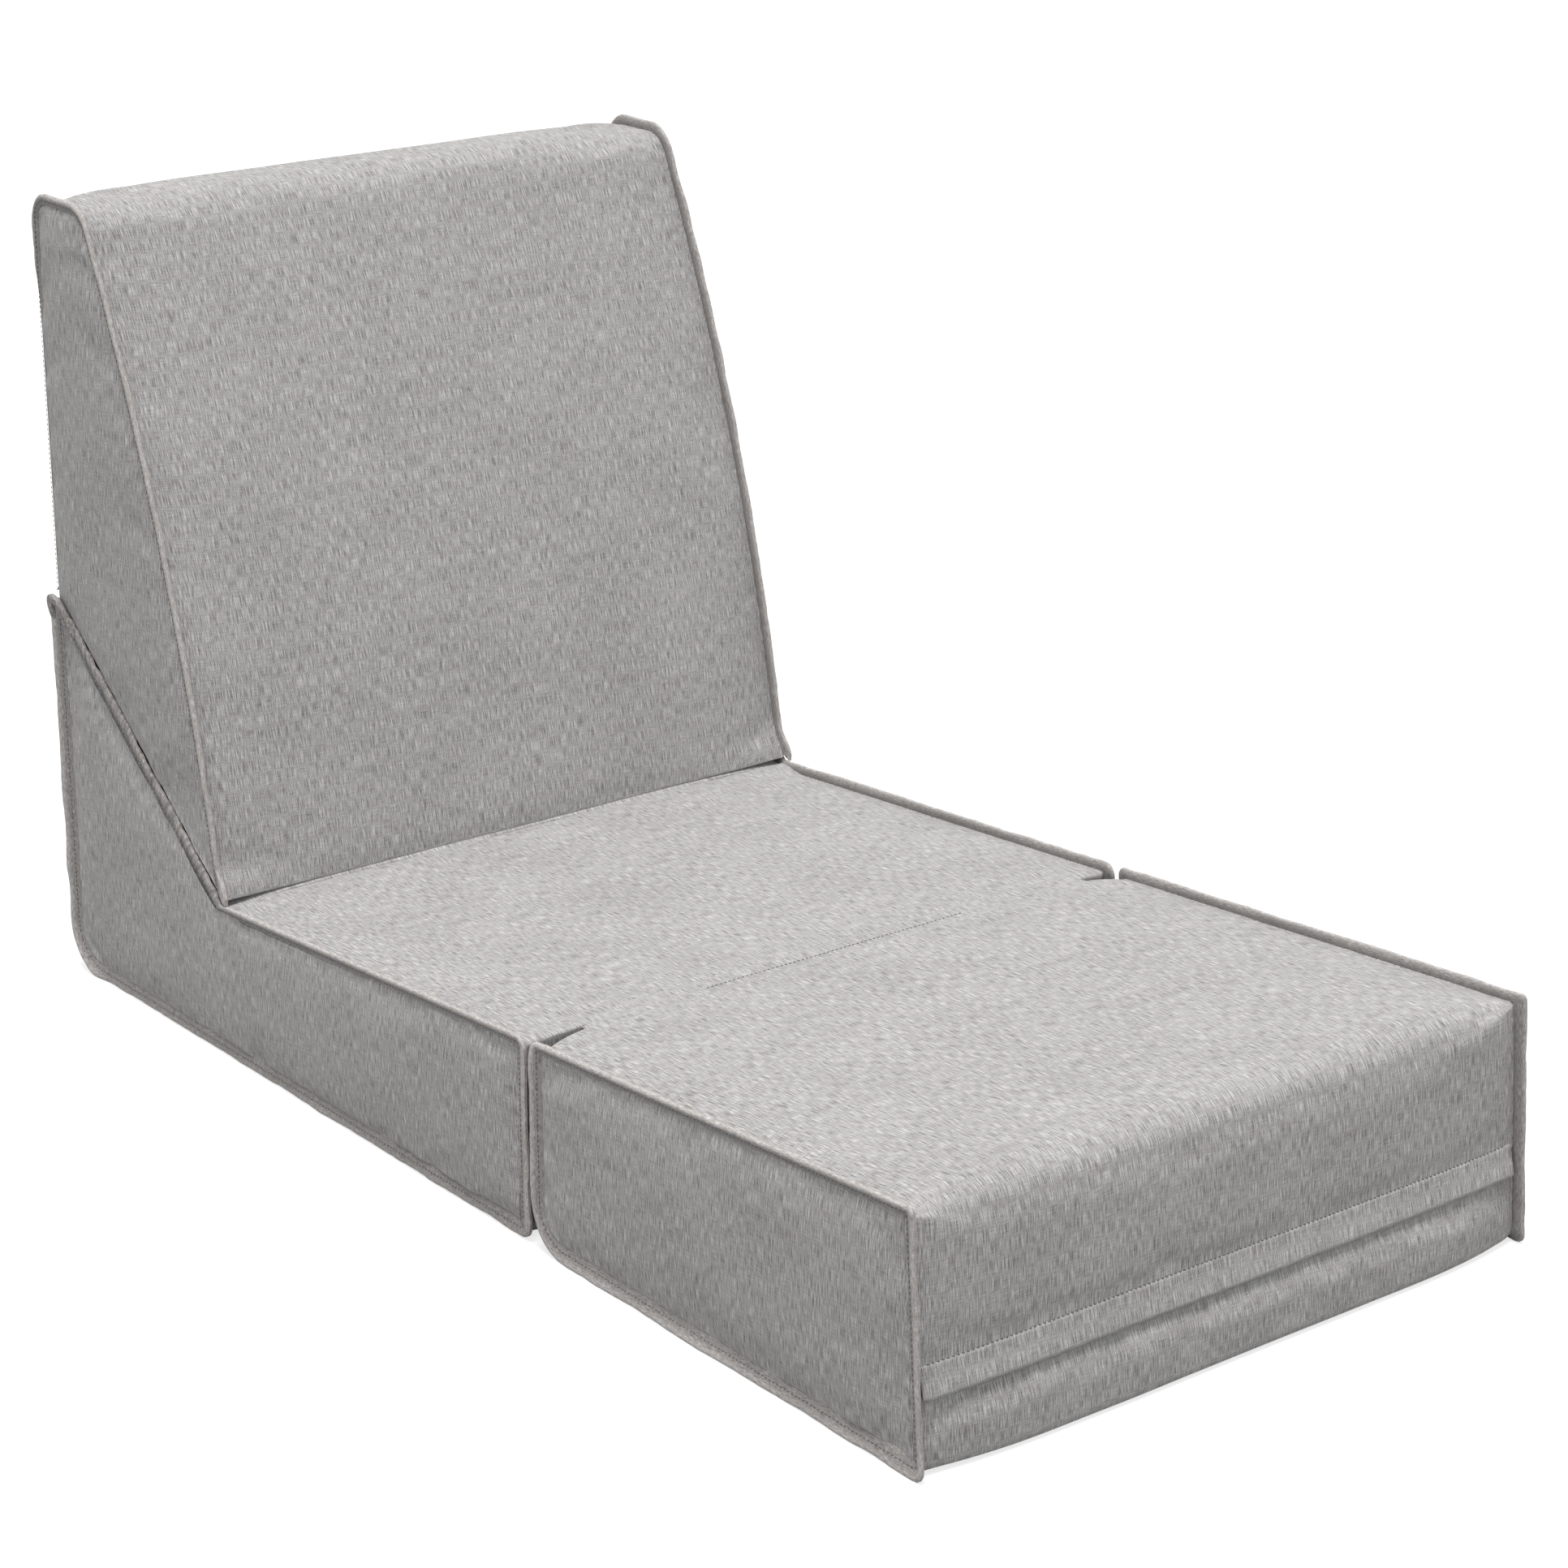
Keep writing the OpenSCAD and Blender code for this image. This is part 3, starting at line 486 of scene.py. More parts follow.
# the same for a tube, whose last row across joins the first
def tubeSquares(rows, around):
    return [[(i, k), (i, (k + 1) % around), (i + 1, (k + 1) % around), (i + 1, k)]
            for i in range(rows - 1) for k in range(around)]


# the block as a closed net of four-sided faces: the cover's rows and columns, then a net over each side
def blockSurface(name):
    edge, mid, full, depth, kind, gridRows, slotBase = blockRows(name)
    b = blocks[name]
    n = len(edge)
    halfCover = chair["halfWidth"] - chair["weltThickness"]
    power = np.full(n, crownLook["power"])
    if name in ("seat", "footrest"):    # the cover is cut tight along the fold, up to the two side slits
        nearFold = np.exp(-(np.abs(edge[:, 0]) / crownLook["foldRun"]) ** 2)
        power += crownLook["foldPower"] * nearFold * (edge[:, 1] > crownLook["foldFrom"])
    verts = []
    along = np.concatenate([[0], np.cumsum(np.linalg.norm(np.roll(mid[:, :2], -1, 0) - mid[:, :2], axis=1))])
    for r in range(n):
        for u in stations:
            c = full[r] * crownAt(u, power[r])
            p = edge[r, :2] + (mid[r, :2] - edge[r, :2]) * c
            if depth[r]:
                p = slotBase[r] - edge[r, 2:] * depth[r]
            verts.append((u * halfCover, p[0] + foldY, p[1]))
    w = len(stations)
    faces, coords = [], []
    for r in range(n):
        s = (r + 1) % n
        for j in range(w - 1):
            faces.append((r * w + j, s * w + j, s * w + j + 1, r * w + j + 1))
            u0, u1 = stations[j] * halfCover * mm, stations[j + 1] * halfCover * mm
            v0, v1 = along[r] * mm, along[r + 1] * mm
            coords += [(u0, v0), (u0, v1), (u1, v1), (u1, v0)]
    # side nets, blended between the four sides of the outline
    seamIn, own = np.zeros(n), np.zeros(n)
    for r in range(n):
        i = int(math.floor(kind[r] + 0.5)) % len(corners[name])
        share = 1
        if kind[r] != int(kind[r]):    # round a corner it goes from one edge's value to the next
            members = np.flatnonzero(kind == kind[r])
            share = eased((r - members[0]) / max(1, members[-1] - members[0]))
        seamIn[r] = weltHeights[name][i - 1] * (1 - share) + weltHeights[name][i] * share
        own[r] = b["edgeInsets"][i - 1] * (1 - share) + b["edgeInsets"][i] * share
    seam = edge[:, :2] - edge[:, 2:] * (seamIn - own)[:, None]
    free = np.clip(seamIn / 5, 0.4, 1)    # the backrest's slope edge has no welt to dive behind
    shoulder = np.full(n, panelLook["shoulder"])
    ring = seam - edge[:, 2:] * (shoulder * free)[:, None]
    sunk = panelLook["sunk"] + 3 * (1 - free)

    g0, g1, g2, g3 = gridRows
    sideA = list(range(g0, g1 + 1))
    sideB = list(range(g1, g2 + 1))
    sideC = list(range(g2, g3 + 1))[::-1]
    sideD = [i % n for i in range(g3, g0 + n + 1)][::-1]
    rowA, rowB, rowC, rowD = (ring[k] for k in (sideA, sideB, sideC, sideD))

    def lengths(p):
        d = distances(p)
        return d / d[-1]
    s = ((lengths(rowA) + lengths(rowC)) / 2)[:, None, None]
    t = ((lengths(rowB) + lengths(rowD)) / 2)[None, :, None]
    net = ((1 - t) * rowA[:, None] + t * rowC[:, None] + (1 - s) * rowD[None] + s * rowB[None]
           - ((1 - s) * (1 - t) * rowA[0] + s * (1 - t) * rowA[-1] + s * t * rowC[-1] + (1 - s) * t * rowC[0]))
    flat = net.reshape(-1, 2)
    start, end = ring, np.roll(ring, -1, 0)
    run = end - start
    far = np.full(len(flat), 1e9)
    for k in range(n):
        q = np.clip(((flat - start[k]) @ run[k]) / max(run[k] @ run[k], 1e-9), 0, 1)
        far = np.minimum(far, np.linalg.norm(flat - start[k] - q[:, None] * run[k], axis=1))
    puff = 1 - np.exp(-(far / panelLook["run"]) ** 1.5)
    puff = panelLook["shoulder"] + (panelLook["full"] - panelLook["shoulder"]) * puff
    puff = puff.reshape(net.shape[:2])
    ns, nt = net.shape[:2]
    sewn = []    # the seams round the panels are held while the cloth is blown up
    for side in (-1, 1):
        shift = panelLook["weaveShift"] * side
        column = 0 if side < 0 else w - 1
        first = len(verts)
        sewn += range(first, first + 2 * n)
        hoops = [(edge[:, :2], None), (seam, sunk), ((seam + ring * 2) / 3, shoulder * 0.8), (ring, shoulder)]
        for line, out in hoops[1:]:
            verts += [(side * (halfCover + out[r]), line[r, 0] + foldY, line[r, 1]) for r in range(n)]
        for h in range(3):
            inner, outer = hoops[h][0], hoops[h + 1][0]
            for r in range(n):
                s = (r + 1) % n
                a, c = [k * w + column if h == 0 else first + (h - 1) * n + k for k in (r, s)]
                q = [(a, inner[r]), (first + h * n + r, outer[r]), (first + h * n + s, outer[s]), (c, inner[s])]
                q = q if side < 0 else q[::-1]
                faces.append(tuple(i for i, p in q))
                coords += [((p[0] + shift) * mm, p[1] * mm) for i, p in q]
        first += 2 * n
        index = np.full((ns, nt), -1)
        for i in range(ns):
            index[i, 0], index[i, nt - 1] = first + sideA[i], first + sideC[i]
        for j in range(nt):
            index[0, j], index[ns - 1, j] = first + sideD[j], first + sideB[j]
        for i in range(1, ns - 1):
            for j in range(1, nt - 1):
                index[i, j] = len(verts)
                verts.append((side * (halfCover + puff[i, j]), net[i, j, 0] + foldY, net[i, j, 1]))
        for q in squares(ns, nt):
            q = q if side > 0 else q[::-1]
            faces.append(tuple(int(index[k]) for k in q))
            coords += [((net[k][0] + shift) * mm, net[k][1] * mm) for k in q]
    return np.array(verts) * mm, faces, coords, kind, full, sewn


clothLook = {"pressure": 2.2, "cap": 1.9, "frames": 20, "mass": 0.3, "stretch": 15, "shear": 8, "bend": 1.5,
             "shrink": -0.008}


def puffUp(obj, pinned):
    start = vertexValues(obj, "co")
    group = obj.vertex_groups.new(name="sewn")
    group.add([int(i) for i in np.flatnonzero(pinned)], 1, "REPLACE")
    cloth = obj.modifiers.new("cloth", "CLOTH")
    fabric = cloth.settings
    fabric.quality = 5
    fabric.mass = clothLook["mass"]
    fabric.tension_stiffness = fabric.compression_stiffness = clothLook["stretch"]
    fabric.shear_stiffness = clothLook["shear"]
    fabric.bending_stiffness = clothLook["bend"]
    fabric.use_pressure = True
    fabric.uniform_pressure_force = clothLook["pressure"]
    fabric.effector_weights.gravity = 0
    fabric.vertex_group_mass = "sewn"
    fabric.shrink_min = clothLook["shrink"]
    cloth.collision_settings.use_collision = False
    scene = bpy.context.scene
    scene.frame_start, scene.frame_end = 1, clothLook["frames"]
    cloth.point_cache.frame_start, cloth.point_cache.frame_end = 1, clothLook["frames"]
    for frameNumber in range(1, clothLook["frames"] + 1):
        scene.frame_set(frameNumber)
    applyAll(obj)
    scene.frame_set(1)
    moved = vertexValues(obj, "co") - start
    size = np.linalg.norm(moved, axis=1, keepdims=True)
    print("  cloth moved up to %.1f mm, %.1f at the median" % (size.max() * 1000, np.median(size) * 1000))
    place(obj, start + moved * np.minimum(1, clothLook["cap"] * mm / np.maximum(size, 1e-9)))
    obj.vertex_groups.clear()


# the sewn seams draw the cloth in small puckers, and the wadding leaves low, broad waves in the faces
drapeLook = {"pucker": 1.0, "puckerRun": 17, "puckerReach": 16, "puckerFrom": 4,
             "wave": 0.8, "waveRun": 95, "waveFrom": 25, "waveDown": 0.25, "most": 0.4}


def drape(obj, ease):
    co, outward = vertexValues(obj, "co"), vertexValues(obj, "normal")
    inside = np.abs((chair["halfWidth"] - chair["weltThickness"]) - np.abs(co[:, 0]) / mm)
    atSeam = np.exp(-(inside / drapeLook["puckerReach"]) ** 2)
    pucker = ripple(co / mm / drapeLook["puckerRun"], 3) * atSeam * drapeLook["pucker"]
    wave = (ripple(co / mm / drapeLook["waveRun"], 5) - drapeLook["waveDown"]) * drapeLook["wave"]
    rubbed = np.abs(outward[:, 0]) < 0.9    # the seams themselves stay where they are sewn
    amount = pucker * rubbed * np.clip(inside / drapeLook["puckerFrom"], 0, 1)
    amount += wave * np.clip(inside / drapeLook["waveFrom"], 0, 1)
    place(obj, co + outward * (np.minimum(amount, drapeLook["most"]) * ease * mm)[:, None])


foamLook = {"inside": 4, "cell": 1.2, "dark": "#d8cda6", "light": "#efe7c8"}


def foamMaterial():
    # flexible polyurethane foam, cut from the block: fine open cells, dull and cream
    material, tree, shader = newMaterial("cutPolyurethaneFoam")
    where = addNode(tree, "ShaderNodeTexCoord").outputs["Object"]
    cells = addNode(tree, "ShaderNodeTexVoronoi", {"Vector": where, "Scale": 1000 / foamLook["cell"]})
    ramp = addNode(tree, "ShaderNodeValToRGB", {"Fac": cells.outputs["Distance"]})
    ramp.color_ramp.elements[0].color = colour(foamLook["dark"])
    ramp.color_ramp.elements[1].color = colour(foamLook["light"])
    relief = addNode(tree, "ShaderNodeBump", {"Height": cells.outputs["Distance"], "Strength": 0.5,
                     "Distance": 0.0005})
    connect(tree, shader, {"Base Color": ramp.outputs["Color"], "Normal": relief.outputs["Normal"], "Roughness": 0.95})
    return material


cutFoam = foamMaterial()


def foamBlock(name):
    b = blocks[name]
    inside = foamLook["inside"]
    radii = [r if r > 100 else max(r - inside, 1) for r in b["edgeRadii"]]
    line = outline(corners[name], [max(i, 5) + inside for i in b["edgeInsets"]], radii,
                   [24 if r > 100 else 6 for r in radii], [[]] * len(radii))
    half, n = chair["halfWidth"] - chair["weltThickness"] - inside, len(line)
    verts = [(x, y + foldY, z) for x in (-half, half) for y, z in line[:, :2]]
    faces = [(r, n + r, n + (r + 1) % n, (r + 1) % n) for r in range(n)]
    faces += [tuple(range(n)), tuple(2 * n - 1 - r for r in range(n))]
    return addMesh(name + "FoamCore", np.array(verts) * mm, faces)


cushions = {}
for name in blocks:
    b = blocks[name]
    verts, faces, coords, kind, full, sewn = blockSurface(name)
    cushion = addMesh(name + "Cushion", verts, faces, coords)
    pinned = np.zeros(len(verts), bool)
    w = len(stations)
    for r in range(len(kind)):
        if kind[r] in b["held"] or full[r] < 0.9:
            pinned[r * w:(r + 1) * w] = True
        pinned[r * w] = pinned[r * w + w - 1] = True
    pinned[sewn] = True
    ease = np.ones(len(verts))    # the drape fades out towards the zip
    ease[:len(kind) * w] = np.repeat(np.clip((full - zipper["crown"]) / (1 - zipper["crown"]), 0, 1), w)
    puffUp(cushion, pinned)
    drape(cushion, ease)
    core = foamBlock(name)
    giveMaterial(core, cutFoam)
    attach(core, b["body"])
    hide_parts(name + "_foam")
    m = cushion.modifiers.new("fine", "SUBSURF")
    m.levels = m.render_levels = 1
    applyAll(cushion)
    bpy.ops.object.shade_smooth()
    giveMaterial(cushion, linenCover)
    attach(cushion, b["body"])
    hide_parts(*b["stands"])
    cushions[name] = cushion
    print("block", name, len(cushion.data.polygons), "faces")


# both covers' edges folded together and sewn through, so a welt is two plies with a groove between
weltLook = {"foot": 325.2, "step": 3, "out": 0.8, "lean": 2.0, "leanRun": 38, "crimp": 0.5, "crimpRun": 10,
            "gather": 4.5, "rise": 1.0, "tuck": 7, "flare": 9, "flareRun": 34, "flareOut": 1.5, "flareUp": -1.8,
            "height": 12, "stitchAt": 4.55, "stitchUp": 0.2}
weltProfile = [(0.9, -0.45), (0.2, 0.12), (-0.3, 0.35), (-0.3, 0.6), (0.1, 0.8), (0.8, 0.94), (1.6, 1.0),
               (2.15, 0.975), (2.4, 0.92), (2.65, 0.975), (3.3, 0.995), (4.2, 0.93), (4.9, 0.8), (5.2, 0.6),
               (4.9, 0.36), (3.9, 0.14), (3.2, -0.15)]
weltRadii = {
    "seat": ([14, 53, 9, 1, 12], [2, 41, 2, 2, 1]),
    "footrest": ([8, 45, 10, 5], [2, 33, 1, 1]),
    "backrest": ([0.8, 4, 26, 38, bowRadius], [0.5, 4, 18, 30, bowRadius - 12]),
}
# mm each edge's welt has bent outwards
weltLean = {("seat", 0): -1.5, ("seat", 1): 3.2, ("seat", 4): 1,
            ("footrest", 0): 2.5, ("footrest", 1): 2.5, ("footrest", 3): 1}


def weltRows(name):
    points = [np.asarray(p, float) for p in corners[name]]
    n = len(points)
    outerRadii, innerRadii = weltRadii[name]
    steps, shares = [], []
    for i in range(n):
        u, v = unit(points[i] - points[i - 1]), unit(points[(i + 1) % n] - points[i])
        turn = abs(math.atan2(crossed(u, v), float(u @ v)))
        steps.append(max(4, round(outerRadii[i] * turn / weltLook["step"])))
        length = np.linalg.norm(points[(i + 1) % n] - points[i])
        shares.append(evenly(max(2, round(length / weltLook["step"]))))
    outer = outline(points, [0] * n, outerRadii, steps, shares)
    inner = outline(points, [max(h, 6) for h in weltHeights[name]], innerRadii, steps, shares)
    edgeOf = np.concatenate([[i - 0.5] * (steps[i] + 1) + [i] * len(shares[i]) for i in range(n)])
    if name == "backrest":
        start = steps[0] + 1 + len(shares[0]) + steps[1]
        order = list(range(start, len(outer))) + list(range(steps[0] + 1))
        return outer[order], inner[order], edgeOf[order], False
    return outer, inner, edgeOf, True


def weltMesh(name, side):
    outer, inner, edgeOf, closed = weltRows(name)
    n, m = len(outer), len(weltProfile)
    along = distances(outer[:, :2])
    at = np.column_stack([np.full(n, side * 9.0), outer[:, 0] / weltLook["leanRun"], outer[:, 1] / weltLook["leanRun"]])
    seed = {"seat": 1, "footrest": 2, "backrest": 3}[name]
    lean = ripple(at, seed) * weltLook["lean"] + weltLook["out"]
    lean += np.array([weltLean.get((name, int(math.floor(e + 0.5)) % len(corners[name])), 0) for e in edgeOf])
    if closed:    # and the change from edge to edge is spread over 8 rows each way
        soft = np.hanning(17) / np.hanning(17).sum()
        lean = np.convolve(np.concatenate([lean[-8:], lean, lean[:8]]), soft, "valid")
    if name == "backrest":    # the rear edge has folded in behind the panel
        tucked = (edgeOf == 1) * tuckedAt(outer[:, 1])
        lean = lean * (1 - tucked) - weltLook["tuck"] * tucked
    lift = ripple(at * 1.4, seed + 10) * weltLook["rise"]
    crimp = ripple(at * weltLook["leanRun"] / weltLook["crimpRun"], seed + 20) * weltLook["crimp"]
    if name == "backrest":    # at the tip it flares forward over the seat's edge
        forward = np.array([-math.cos(rise), math.sin(rise)])
        far = np.linalg.norm(outer[:, :2] - backTip, axis=1)
        flare = np.clip((weltLook["flareRun"] - far) / (weltLook["flareRun"] - 8), 0, 1) * (np.arange(n) > n // 2)
        flare = eased(flare) * (0.85 + 0.15 * np.clip(far / 8, 0, 1))
        upward = unit(bowCorner - backTip) * weltLook["flareUp"]
        outer[:, :2] += (forward * weltLook["flare"] + upward) * flare[:, None]
        lean += weltLook["flareOut"] * flare
    contact = (edgeOf == 2) & (name == "seat")       # under the backrest, where cross puckers gather it
    meeting = (edgeOf == {"seat": 3, "footrest": 2}.get(name, -1))      # these two lie on each other when folded
    crimp *= 1 + weltLook["gather"] * contact
    verts = []
    for r in range(n):
        up = -abs(lift[r]) if contact[r] or meeting[r] else lift[r]
        end = 1 if closed else min(1, (r + 1) / 4)
        for x, share in weltProfile:
            tilt = max(share, 0) ** 1.5
            p = inner[r, :2] + (outer[r, :2] - inner[r, :2]) * share * (0.55 + 0.45 * end)
            p = p + outer[r, 2:] * up * max(share, 0)
            out = weltLook["foot"] + x + lean[r] * tilt + crimp[r] * max(share, 0)
            verts.append((side * out, p[0] + foldY, max(p[1], 0.15)))
    faces, coords = [], []
    total = along[-1] + np.linalg.norm(outer[0, :2] - outer[-1, :2])
    steps = [(b[0] - a[0], (b[1] - a[1]) * weltLook["height"]) for a, b in zip(weltProfile, weltProfile[1:])]
    around = np.concatenate([[0], np.cumsum([math.hypot(*step) for step in steps])])
    for r in range(n if closed else n - 1):
        s = (r + 1) % n
        s0, s1 = along[r], along[s] if s else total
        for k in range(m):
            l = (k + 1) % m
            a0, a1 = around[k], around[l] if l else around[-1] + 4
            q = [(r, k), (s, k), (s, l), (r, l)]
            t = [(s0, a0), (s1, a0), (s1, a1), (s0, a1)]
            if side < 0:
                q, t = q[::-1], t[::-1]
            faces.append(tuple(i * m + j for i, j in q))
            coords += [(a * mm, c * mm) for c, a in t]
    if not closed:
        for r in (0, n - 1):
            cap = [r * m + k for k in range(m)]
            cap = cap if (r == 0) == (side > 0) else cap[::-1]
            faces.append(tuple(cap))
            coords += [(0, 0)] * m
    return np.array(verts) * mm, faces, coords, np.repeat(contact, m)


for name in blocks:
    for side, word in ((-1, "left"), (1, "right")):
        verts, faces, coords, contact = weltMesh(name, side)
        welt = addMesh(name + "Welt" + word.capitalize(), verts, faces, coords)
        gathered = welt.data.attributes.new("gathered", "FLOAT", "POINT")
        gathered.data.foreach_set("value", contact.astype(np.float32))
        finishMesh(welt, linenTrim)
        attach(welt, blocks[name]["body"])
        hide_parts(name + "_welt_" + word)
print("welts done")


# a doubled strip of the cover, sewn along its top edge and hanging free over the zip
flapLook = {"reach": 322, "stitched": 316, "across": 4, "pucker": 0.3, "puckerRun": 5.5, "wave": 0.7, "waveRun": 70}
flapProfile = [(-0.9, -1.1), (-0.3, 0.4), (0.6, 1.15), (2.4, 1.4), (6, 1.8), (10, 2.4), (15, 3.3), (20, 4.2),
               (24, 4.8), (26.4, 5.0), (27, 4.3), (26.6, 3.6), (24, 3.4), (18, 2.3), (9, 0.8), (2, -0.4)]


def zipPlane(name):
    b = blocks[name]
    moved = insetCorners(corners[name], b["edgeInsets"])
    edgeIndex, zipZ, way = b["zipAt"]
    a, e = moved[edgeIndex], moved[(edgeIndex + 1) % len(moved)]
    run = unit(e - a)
    top = a + run * (zipZ - a[1]) / run[1]
    lift = (b["edgeInsets"][edgeIndex] - b["midInsets"][edgeIndex]) * zipper["crown"]
    return top, (run if way == "down" else -run), -leftOf(run), lift


def flapHeight(x, lift):
    return lift * crownAt(x / (chair["halfWidth"] - chair["weltThickness"]), crownLook["power"])


for name in blocks:
    top, down, out, lift = zipPlane(name)
    count = round(2 * flapLook["reach"] / flapLook["across"]) + 1
    xs = np.linspace(-flapLook["reach"], flapLook["reach"], count)
    m = len(flapProfile)
    verts, faces, coords = [], [], []
    seed = len(name)
    for x in xs:
        pucker = noise.noise(Vector((x / flapLook["puckerRun"], seed, 0.5))) * flapLook["pucker"]
        wave = noise.noise(Vector((x / flapLook["waveRun"], seed, 7.5))) * flapLook["wave"]
        for k, (d, h) in enumerate(flapProfile):
            free = max(0, min(1, d / zipper["flapHeight"]))
            proud = flapHeight(x, lift) + h + pucker * (0.4 + 0.6 * (1 - free)) * (d > 0.2)
            proud += abs(wave) * 0.7 * free ** 2
            q = top + down * (d + wave * free) + out * proud
            verts.append((x, q[0] + foldY, q[1]))
    pairs = zip(flapProfile, flapProfile[1:])
    lengths = np.concatenate([[0], np.cumsum([math.dist(a, b) for a, b in pairs])])
    for q in tubeSquares(count, m):
        faces.append(tuple(a * m + b for a, b in q))
        closing = q[0][1] == m - 1
        coords += [(xs[a] * mm, -(lengths[-1] + 3 if closing and b == 0 else lengths[b]) * mm) for a, b in q]
    for i in (0, count - 1):
        faces.append(tuple(i * m + k for k in (range(m) if i else range(m - 1, -1, -1))))
        coords += [(0, 0)] * m
    flap = addMesh(name + "ZipFlap", np.array(verts) * mm, faces, coords)
    finishMesh(flap, linenCover)
    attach(flap, blocks[name]["body"])
    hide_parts(name + "_zip_flap")
print("flaps done")


# the zips keep their shape from the part; they get their real materials here
zipLook = {"rib": 0.9, "coil": 1.6, "wear": 6}      # mm between ribs, teeth and patches of wear


def grainMaterial(name, dark, light, stretch, roughness, metallic=0.0, bump=0.4):
    material, tree, shader = newMaterial(name)
    where = addNode(tree, "ShaderNodeTexCoord").outputs["Object"]
    scaled = addNode(tree, "ShaderNodeMapping", {"Vector": where, "Scale": stretch})
    grain = addNode(tree, "ShaderNodeTexNoise", {"Vector": scaled.outputs["Vector"], "Scale": 1.0, "Detail": 2.0})
    ramp = addNode(tree, "ShaderNodeValToRGB", {"Fac": grain.outputs["Fac"]})
    stops = ramp.color_ramp.elements
    stops[0].position, stops[0].color = 0.35, colour(dark)
    stops[1].position, stops[1].color = 0.65, colour(light)
    relief = addNode(tree, "ShaderNodeBump", {"Height": grain.outputs["Fac"], "Strength": bump, "Distance": 0.0003})
    connect(tree, shader, {"Base Color": ramp.outputs["Color"], "Normal": relief.outputs["Normal"],
                           "Roughness": roughness, "Metallic": metallic})
    return material


rib, coil, wear = (1000 / zipLook[k] for k in ("rib", "coil", "wear"))
# fine ribs across the tape, one nylon tooth after another, moulded stops that are nearly smooth, and
# dull brassy plating, slightly worn, on the slider
zipMaterials = {
    "tapes": grainMaterial("wovenPolyesterTape", "#5f5e5d", "#757473", (rib, rib, rib * 3), 0.85),
    "teeth": grainMaterial("nylonCoil", "#58585a", "#747476", (coil, coil / 4, coil / 4), 0.42),
    "stops": grainMaterial("nylonStop", "#58585a", "#6c6c6e", (wear, wear, wear), 0.45, bump=0.1),
    "slider": grainMaterial("platedZinc", "#a08a5c", "#c2ab78", (wear, wear, wear * 2), 0.32, 1.0, 0.1),
}
for name in blocks:
    for part, material in zipMaterials.items():
        giveMaterial(nodes[name + "_zip_" + part], material)


# lockstitch in thick grey polyester thread: one stitch is a small bolster, repeated along a path
stitchLook = {"length": 2.9, "pitch": 4.7, "thickness": 0.62, "twist": 1.1}
stitchShape = [(-1, 0.35, -0.4), (-0.6, 1.0, 0.6), (0, 1.05, 0.95), (0.6, 1.0, 0.6), (1, 0.35, -0.4)]

# twisted polyester thread: dark grey-brown, a slight gleam on each twist
twist = 1000 / stitchLook["twist"]
polyesterThread = grainMaterial("polyesterThread", "#4b4846", "#6b6764", (twist, twist, twist), 0.6, bump=0.2)


def stitchLine(name, points, normals, body):
    points, normals = np.array(points), np.array(normals)
    along = distances(points)

    def at(distance, values):
        return np.array([np.interp(distance, along, values[:, k]) for k in range(3)])
    verts, faces = [], []
    half, r = stitchLook["length"] / 2, stitchLook["thickness"] / 2
    for i in range(int(along[-1] // stitchLook["pitch"])):
        centre = (i + 0.5) * stitchLook["pitch"]
        p, up = at(centre, points), unit(at(centre, normals))
        go = unit(at(centre + 0.5, points) - at(centre - 0.5, points))
        across = np.cross(up, go)
        first = len(verts)
        for d, w, h in stitchShape:
            for angle in range(5):
                c, s = math.cos(angle * 2 * math.pi / 5), math.sin(angle * 2 * math.pi / 5)
                verts.append(p + go * (d * half) + across * c * r * w + up * (s * r * w + h * r))
        faces += [tuple(first + a * 5 + b for a, b in q) for q in tubeSquares(5, 5)]
        faces.append(tuple(first + j for j in (4, 3, 2, 1, 0)))
        faces.append(tuple(first + 20 + j for j in range(5)))
    obj = addMesh(name, np.array(verts) * mm, faces)
    finishMesh(obj, polyesterThread)
    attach(obj, body)


for name in blocks:
    top, down, out, lift = zipPlane(name)
    xs = np.linspace(-flapLook["stitched"], flapLook["stitched"], 200)
    shift = np.array([foldY, 0])
    line = [(x, *(top - down * 0.5 + out * (flapHeight(x, lift) + 0.35) + shift)) for x in xs]
    stitchLine(name + "FlapStitches", line, [(0, *(out * 0.8 - down * 0.6))] * len(line), blocks[name]["body"])
    outer, inner, edgeOf, closed = weltRows(name)
    seam = inner[:, :2] + (outer[:, :2] - inner[:, :2]) * weltLook["stitchUp"] + shift
    for side, word in ((-1, "Left"), (1, "Right")):
        order = list(range(len(outer))) + ([0] if closed else [])
        line = [(side * (weltLook["foot"] + weltLook["stitchAt"]), *seam[r]) for r in order]
        stitchLine(name + "WeltStitches" + word, line, [(side, 0, 0)] * len(line), blocks[name]["body"])
print("stitches done")


# the top cover runs on over the fold, but for a slit at each side
foldLook = {"left": -272, "right": 292, "half": 24, "lift": 0.4, "sink": 0.9, "seam": 145, "seamFade": 25,
            "across": 4, "bridge": 8, "tip": 26, "thickness": 0.7}
halfRows = [0.7, 1.4, 2.3, 3.5, 5, 7, 9.5, 12.5, 16, 20, 24]


def overTops(x, y):
    best = None
    for name in ("seat", "footrest"):
        hit, where, normal, index = cushions[name].ray_cast(Vector((x * mm, (y + foldY) * mm, 0.4)), Vector((0, 0, -1)))
        if hit and (best is None or where.z > best):
            best = where.z
    return best * 1000 if best is not None else None


